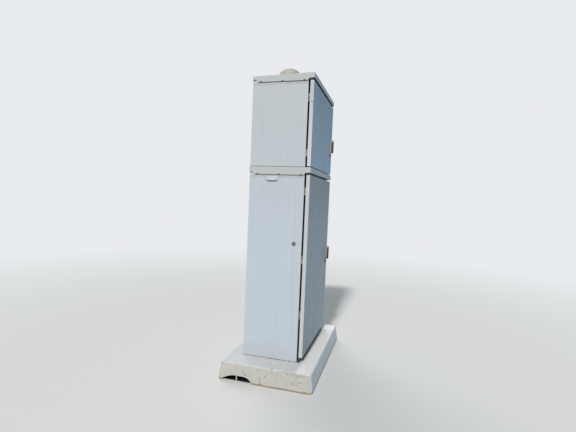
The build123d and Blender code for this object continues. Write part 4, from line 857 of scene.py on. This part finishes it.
class CABINET_OT_plinth(bpy.types.Operator):
    """Casts the plinth: a tapered block with rounded, chipped edges, blow holes and a crack"""
    bl_idname = "cabinet.plinth"
    bl_label = "Worn concrete plinth"

    def execute(self, context):
        wear = context.scene.cabinet_plinth
        height = PLINTH_HIGH.z
        taper, corner, edge = 0.017, 0.014, 0.01
        outline = (PLINTH_HIGH.x, PLINTH_HIGH.y, corner + taper, wear.mesh_step)
        normals = rounded_outline(*outline)[1]
        rise = np.linspace(0, height - edge, 26)
        bend = np.linspace(0, np.pi / 2, 7)[1:]
        deck = np.concatenate([np.linspace(0.004, 0.14, 32), [0.19, 0.25, 0.3]])
        inset = np.concatenate([
            taper * rise / height,
            taper * (height - edge) / height + edge * (1 - np.cos(bend)) * 0.98,
        ])
        inset = np.concatenate([inset, inset[-1] + deck])
        level = np.concatenate([
            rise, height - edge + edge * np.sin(bend), np.full(len(deck), height)
        ])
        lean = np.concatenate([np.zeros(len(rise)), bend, np.full(len(deck), np.pi / 2)])
        flat = np.stack([rounded_outline(*outline, step)[0] for step in inset])
        points = np.concatenate([
            flat, np.broadcast_to(level[:, None, None], flat.shape[:2] + (1,))
        ], -1)
        out = np.zeros_like(points)
        out[..., :2] = normals[None] * np.cos(lean)[:, None, None]
        out[..., 2] = np.sin(lean)[:, None]
        depth = self.depths(points.reshape(-1, 3), lean.repeat(len(normals)), wear)
        points = points - out * depth.reshape(points.shape[:2])[..., None]
        plinth = Surface().grid(points).piece(
            "worn_plinth", concrete_finish(wear), "painted_concrete"
        )
        self.hollow(plinth)
        plinth.data.shade_smooth()
        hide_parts("concrete_plinth")
        return {"FINISHED"}

    def depths(self, points, lean, wear):
        """How far each point lies below the ideal face.

        Broad and fine noise make the cast face wander; the edge loses more where a broken noise
        passes a threshold; blow holes, the flaked patch and the crack are hollows of their own.
        """
        broad = layered_noise(points, 0.09, 1)
        fine = layered_noise(points, 0.018, 5)
        depth = wear.waviness * broad + 0.0006 * fine
        at_edge = np.exp(-((lean - 0.8) / 0.55) ** 2)
        chips = smooth_step(layered_noise(points, 0.045, 11, 4), 0.52, 0.7)
        depth = depth + at_edge * (0.0012 + wear.chipping * chips)
        holes = lattice_noise(points, 0.011, 23)
        scarce = smooth_step(lattice_noise(points, 0.07, 31), 0.45, 0.7)
        depth = depth + wear.pitting * smooth_step(holes, 0.84, 0.95) * scarce
        x, y, z = points.T
        near_end = x < -0.5
        rag = layered_noise(points, 0.02, 41)
        oval = ((y + 0.205) / 0.105) ** 2 + ((z - 0.102) / 0.022) ** 2
        flake = smooth_step(1.0 - oval + (rag - 0.5) * 1.2, 0.15, 0.3) * near_end
        depth = depth + wear.flake_depth * flake
        wander = 0.004 * (lattice_noise(points, 0.02, 47) - 0.5)
        gap = np.abs(y - wear.crack_y - wander)
        crack = smooth_step(-gap, -0.0042, -0.0006) * smooth_step(-z, -0.048, -0.036)
        return depth + wear.crack_depth * crack * near_end

    def hollow(self, plinth):
        """Cuts the cable chamber, the arch in the end and the anchor bolts' holes.

        The arch is y = 0.188 + 0.11 t, z = 0.038 (1 - |t|^p), with p = 4.5 on its blunt side
        and 2.2 on the other.
        """
        x0, x1, half_y = LEFT + 0.11, RIGHT - 0.11, BACK - 0.092
        chamber = np.array([[x0, -half_y], [x1, -half_y], [x1, half_y], [x0, half_y]])
        t = np.linspace(-1, 1, 41)
        arch = np.stack([
            0.188 + 0.11 * t, 0.038 * (1 - np.abs(t) ** np.where(t < 0, 4.5, 2.2))
        ], -1)
        arch = np.concatenate([arch, [[arch[-1, 0], -0.08], [arch[0, 0], -0.08]]])
        tunnel = prism(arch, (-0.6, x0 + 0.001))[..., [2, 0, 1]]
        shapes = [prism(chamber, (-0.05, 0.2)), tunnel]
        for x in (LEFT + 0.055, RIGHT - 0.055):
            for y in (-BACK + 0.06, BACK - 0.06):
                bolt = np.array([x, y]) + 0.006 * circle(24)
                shapes.append(prism(bolt, (PLINTH_HIGH.z - 0.085, 0.2)))
        cut_away(plinth, [Surface().grid(shape).thing("cutter") for shape in shapes])


class CABINET_OT_door_seals(bpy.types.Operator):
    """Extrudes the foam door seals: a rounded section with two rolled lips, carried round"""
    bl_idname = "cabinet.door_seals"
    bl_label = "Door seals"

    def execute(self, context):
        f = Finish("Foam rubber seal")
        pores = f.noise(0.0016, 3, 0.7)
        f.tint(0.8 + pores * 0.4, "2E2E2F")
        f.lay(f.noise(0.03, 4, 0.7).step(0.45, 0.75) * 0.4, "6E6A62")
        f.emboss(pores, 0.0006, 0.9)
        finish = f.finished(0.85 + pores * 0.1)
        for door in ("lower", "upper"):
            low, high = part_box(f"{door}_door_gasket")
            self.seal(door, low, high, finish)
        return {"FINISHED"}

    def seal(self, door, low, high, finish):
        """One seal: depth = base + swell of a two-humped cosine across the section."""
        half = 0.01375 / 2
        path, normals = rounded_outline(
            (high.x - low.x) / 2 - half, (high.z - low.z) / 2 - half, 0.002, 0.02
        )
        t = np.linspace(-1, 1, 19)
        hump = 1 - 0.22 * t ** 2 - 0.16 * np.cos(3 * np.pi * t) ** 2 * (1 - t ** 2)
        hump = hump * np.sqrt(np.clip(1 - np.abs(t) ** 6, 0, 1))
        hump = hump / hump.max() * (high.y - low.y)
        outline = np.concatenate([
            np.stack([t * half, hump], -1),
            np.stack([np.linspace(1, -1, 7)[1:-1] * half, np.zeros(5)], -1),
        ])
        middle = np.array([(high.x + low.x) / 2, low.y, (high.z + low.z) / 2])
        points = swept_ring(path, normals, outline)[..., [0, 2, 1]] + middle
        seal = Surface().grid(points, ring=True).piece(
            f"{door}_door_seal", finish, "gasket_rubber", f"{door}_door"
        )
        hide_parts(f"{door}_door_gasket")


class CABINET_OT_beads(bpy.types.Operator):
    """Runs the sealant beads: round the cabinet's foot on the plinth and round the dome"""
    bl_idname = "cabinet.beads"
    bl_label = "Sealant beads"

    def execute(self, context):
        sizes = context.scene.cabinet_fittings
        path, normals = rounded_outline((RIGHT - LEFT) / 2, (BACK - FRAME_FACE) / 2, 0.003, 0.008)
        place = (MIDDLE, (BACK + FRAME_FACE) / 2, WALL_LOW.z)
        foot = Surface().grid(self.bead(path, normals, sizes.bead, place, 3), ring=True)
        f = Finish("Weathered sealant")
        f.paint = f.mix(f.noise(0.02, 5, 0.75).step(0.42, 0.6), "CFC8B6", "5B4A38")
        f.emboss(f.noise(0.003, 3, 0.7), 0.0008, 0.8)
        foot.piece("foot_sealant", f.finished(0.8), "painted_concrete")
        ring = circle(96)
        place = ((DOME_HIGH.x + DOME_LOW.x) / 2, (DOME_HIGH.y + DOME_LOW.y) / 2, ROOF_HIGH.z)
        dome = self.bead(ring * ((DOME_HIGH.x - DOME_LOW.x) / 2), ring, 0.0036, place, 9)
        dome[..., 2] -= ROOF_SLOPE * (dome[..., 1] - ROOF_LOW.y)
        f = Finish("Stained dome sealant")
        blotch = f.noise(0.012, 4, 0.7)
        f.paint = f.mix(blotch.step(0.35, 0.65), "A47C4C", "6B4A2A")
        f.emboss(blotch, 0.0006, 0.7)
        dome = Surface().grid(dome, ring=True)
        dome.piece("dome_sealant", f.finished(0.75), "dome_plastic")
        return {"FINISHED"}

    def bead(self, path, normals, radius, place, seed):
        """A quarter-round bead in a corner whose radius wanders with a smooth noise."""
        spots = np.concatenate([path, np.full((len(path), 1), seed)], -1)
        swell = 0.62 + 0.38 * layered_noise(spots, 0.05, seed)
        t = np.linspace(0, np.pi / 2, 6)
        shape = np.concatenate([np.stack([np.cos(t), np.sin(t)], -1), [[-0.3, 1.0], [-0.3, 0.04]]])
        return swept_ring(path, normals, radius * swell[:, None, None] * shape) + np.array(place)


class CABINET_OT_rack_fittings(bpy.types.Operator):
    """Adds the rack's screws, card handles and sockets, status lamps and terminal screws"""
    bl_idname = "cabinet.rack_fittings"
    bl_label = "Rack fittings"

    def execute(self, context):
        sizes = context.scene.cabinet_fittings
        metal = metal_finish("Plated screws", "C8C6BE", "9B978B", 0.004, 0.35)
        self.rack_screws(sizes, metal)
        self.card_fronts(sizes)
        self.terminal_screws(sizes, metal)
        self.unit_fronts()
        return {"FINISHED"}

    def pan_head(self, radius, height):
        """Profile of a pan head with a shallow cup: rounded rim, flat crown, sunk middle."""
        return np.array([
            (0.001, -0.2), (0.98, -0.2), (1, 0.2), (0.94, 0.65), (0.78, 0.92), (0.52, 1),
            (0.42, 0.9), (0.3, 0.45), (0.001, 0.35),
        ]) * (radius, height)

    def lens(self, radius):
        """Profile of a domed lens on a collar."""
        t = np.linspace(0, np.pi / 2, 5)[1:]
        dome = np.stack([np.maximum(np.cos(t), 0.001), 0.3 + np.sin(t)], -1)
        collar = [(0.001, -0.3), (1.25, -0.3), (1.25, 0.25), (1, 0.3)]
        return np.concatenate([collar, dome]) * radius

    def rack_screws(self, sizes, finish):
        """Screws through the corners of every rack panel; a low panel has one at each side."""
        shell = Surface()
        profile = self.pan_head(sizes.screw_radius, sizes.screw_height)
        for node in RACK_PANELS:
            low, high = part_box(node)
            tall = high.z - low.z
            inset = 0.5 * RACK_UNIT / tall
            for row in [0.5] if tall < 0.06 else [inset, 1 - inset]:
                for side in (-1, 1):
                    x = MIDDLE + side * RACK_SCREW_X
                    shell.turned(profile, 14, (x, RACK_FACE + 0.002, low.z + row * tall))
        shell.piece("rack_screws", finish, "zinc_steel")

    def card_fronts(self, sizes):
        """Handles, sockets and lamps on the fronts of the cards."""
        dark = plain_finish("Socket plastic", "17181A", "222326", 0.01, 0.45)
        grey = plain_finish("Card handle plastic", "8F9499", "7F8489", 0.01, 0.45)
        handles, sockets, greens, ambers = Surface(), Surface(), Surface(), Surface()
        lens = self.lens(sizes.lamp_radius)
        for node, cards in (("controller_unit", 14), ("detector_unit", 8)):
            low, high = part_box(node)
            tall = high.z - low.z
            pitch = (CASE_WIDTH - 2 * CARD_MARGIN) / cards
            for i in range(cards):
                x = MIDDLE - CASE_WIDTH / 2 + CARD_MARGIN + (i + 0.5) * pitch - 0.001
                for z in (low.z + 0.02, high.z - 0.02):
                    handles.block((x, RACK_FACE - 0.003, z), (pitch * 0.3, 0.0045, 0.0055))
                place = (x, RACK_FACE - 0.002, low.z + tall * 0.36)
                sockets.block(place, (0.0055, 0.0042, tall * 0.16))
                for row in range(3):
                    lamps = ambers if (i + row) % 4 == 0 else greens
                    lamps.turned(lens, 12, (x, RACK_FACE, high.z - 0.036 - row * 0.009))
        handles.piece("card_handles", grey, "unit_paint")
        sockets.piece("card_sockets", dark, "gland_plastic")
        greens.piece("green_lamps", lamp_finish("Green lamp", "4FA35A"), "switch_plastic")
        ambers.piece("amber_lamps", lamp_finish("Amber lamp", "D79A3A"), "switch_plastic")

    def terminal_screws(self, sizes, finish):
        """A cupped screw at both ends of each terminal, in three rows of terminals."""
        low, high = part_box("terminal_strips")
        shell = Surface()
        profile = self.pan_head(sizes.terminal_screw, 0.002)
        for row in range(3):
            z = 0.247 + row * 0.084
            for i in range(int((high.x - low.x - 0.02) / TERMINAL_PITCH)):
                x = low.x + 0.01 + (i + 0.5) * TERMINAL_PITCH
                for side in (-1, 1):
                    shell.turned(profile, 8, (x, low.y + 0.009, z + side * TERMINAL_SCREW_Z))
        shell.piece("terminal_screws", finish, "zinc_steel")

    def unit_fronts(self):
        """Ports on the communications unit and the standby supply, and the supply's window."""
        dark = plain_finish("Port plastic", "151618", "1F2023", 0.01, 0.4)
        glass = plain_finish("Display window", "2D3B33", "25312A", 0.02, 0.18)
        ports, window = Surface(), Surface()
        low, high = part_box("network_unit")
        for i in range(6):
            place = (low.x + 0.03 + i * 0.022, low.y - 0.0006, low.z + 0.018)
            ports.block(place, (0.0078, 0.0022, 0.0068))
        low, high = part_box("backup_supply")
        for i in range(4):
            x = (low.x + high.x) / 2 + (i - 1.5) * 0.045
            ports.block((x, low.y - 0.0006, low.z + 0.021), (0.016, 0.0022, 0.012))
        place = (low.x + 0.045, low.y - 0.0004, high.z - 0.06)
        window.block(place, (0.026, 0.0018, 0.014), 10)
        ports.piece("unit_ports", dark, "gland_plastic")
        window.piece("supply_display", glass, "gland_plastic")


class CABINET_OT_stage(bpy.types.Operator):
    """Sets the camera at the photographed angle, the pale floor, the background and the lamps"""
    bl_idname = "cabinet.stage"
    bl_label = "Camera, floor and light"

    def execute(self, context):
        scene, settings = context.scene, context.scene.cabinet_stage
        scene.view_settings.view_transform = "Standard"
        look, right = Vector(CAMERA_LOOK).normalized(), Vector(CAMERA_RIGHT)
        right = (right - look * right.dot(look)).normalized()
        camera = placed("camera", bpy.data.cameras.new("camera"))
        camera.data.sensor_width = 36.0
        camera.data.lens = settings.lens
        turn = Matrix((right, right.cross(look), -look)).transposed().to_4x4()
        camera.matrix_world = Matrix.Translation(CAMERA_PLACE) @ turn
        scene.camera = camera
        self.floor(settings)
        self.lamp("key", settings.key, 5.0, (-3.6, 0.0, 3.3))
        self.lamp("rear", settings.rear, 40.0, (3.2, 2.6, 2.6))
        self.sky(scene, settings)
        return {"FINISHED"}

    def floor(self, settings):
        """A round floor: level rings that pass into the background's colour with distance."""
        f = Finish("Pale floor")
        grain = f.noise(0.02, 3)
        # Painted shade: the floor is darkened almost to black where the plinth stands on it
        covered = f.x.size().step(0.52, 0.515) * f.y.size().step(0.31, 0.305)
        f.tint((0.985 + grain * 0.03) * (1.0 - covered * 0.96), settings.floor)
        near = f.add("ShaderNodeBsdfDiffuse", {"Color": f.paint})
        far = f.add("ShaderNodeEmission", {"Color": settings.background, "Strength": 1.0})
        seen = f.add("ShaderNodeLightPath", output="Is Camera Ray")
        distance = (f.x * f.x + f.y * f.y) ** 0.5
        both = f.add("ShaderNodeMixShader", {0: distance.step(1.6, 7.0) * seen, 1: near, 2: far})
        f.add("ShaderNodeOutputMaterial", {"Surface": both}, None)
        radius = np.array([0.001, 1.0, 3.0, 8.0, 20.0, 60.0])[:, None, None]
        flat = radius * circle(64)
        level = np.full((*flat.shape[:2], 1), -0.0005)
        floor = Surface().grid(np.concatenate([flat, level], -1), capped=False).thing("floor")
        floor.data.materials.append(f.material)

    def lamp(self, name, strength, spread, place):
        """A broad distant light, soft over a spread in degrees, that shines on the origin."""
        lamp = placed(name, bpy.data.lights.new(name, "SUN"))
        lamp.data.energy, lamp.data.angle = strength, math.radians(spread)
        turn = (-Vector(place)).to_track_quat("-Z", "Y").to_matrix().to_4x4()
        lamp.matrix_world = Matrix.Translation(place) @ turn

    def sky(self, scene, settings):
        """Even light all round, and a pale background where the camera sees it."""
        scene.world = bpy.data.worlds.new("sky")
        sky = Nodes(scene.world)
        light = sky.add("ShaderNodeBackground", {
            "Color": (0.72, 0.86, 1.0), "Strength": settings.fill,
        })
        pale = sky.add("ShaderNodeBackground", {"Color": settings.background})
        seen, through = sky.outputs(
            "ShaderNodeLightPath", names=("Is Camera Ray", "Is Transmission Ray")
        )
        mixed = sky.add("ShaderNodeMixShader", {0: seen.either(through), 1: light, 2: pale})
        sky.add("ShaderNodeOutputWorld", {"Surface": mixed}, None)


class CABINET_PT_pieces(bpy.types.Panel):
    """Lists the operators in the order in which they build the object"""
    bl_idname = "CABINET_PT_pieces"
    bl_label = "Signal controller cabinet"
    bl_space_type = "VIEW_3D"
    bl_region_type = "UI"
    bl_category = "Cabinet"

    def draw(self, context):
        for operator in OPERATORS:
            self.layout.operator(operator.bl_idname)
        for group in GROUPS:
            settings = getattr(context.scene, group)
            box = self.layout.box()
            for key in settings.__annotations__:
                box.prop(settings, key)


OPERATORS = (
    CABINET_OT_stage, CABINET_OT_paint, CABINET_OT_metalwork, CABINET_OT_equipment,
    CABINET_OT_plinth, CABINET_OT_door_seals, CABINET_OT_beads, CABINET_OT_rack_fittings,
)
GROUPS = {
    "cabinet_paint": CabinetPaint,
    "cabinet_plinth": PlinthWear,
    "cabinet_stage": StageLight,
    "cabinet_fittings": FittingSizes,
}


def register():
    """Registers the classes and hangs the settings on the scene."""
    for group in (*GROUPS.values(), *OPERATORS, CABINET_PT_pieces):
        bpy.utils.register_class(group)
    for name, group in GROUPS.items():
        setattr(bpy.types.Scene, name, bpy.props.PointerProperty(type=group))


def unregister():
    """Takes away the settings and the classes."""
    for name in GROUPS:
        delattr(bpy.types.Scene, name)
    for group in (CABINET_PT_pieces, *reversed(OPERATORS), *GROUPS.values()):
        bpy.utils.unregister_class(group)


def main():
    """Builds every piece in order."""
    register()
    for operator in OPERATORS:
        group, name = operator.bl_idname.split(".")
        result = getattr(getattr(bpy.ops, group), name)()
        if result != {"FINISHED"}:
            raise RuntimeError(f"{operator.bl_idname} did not finish: {result}")


if __name__ == "__main__":
    main()
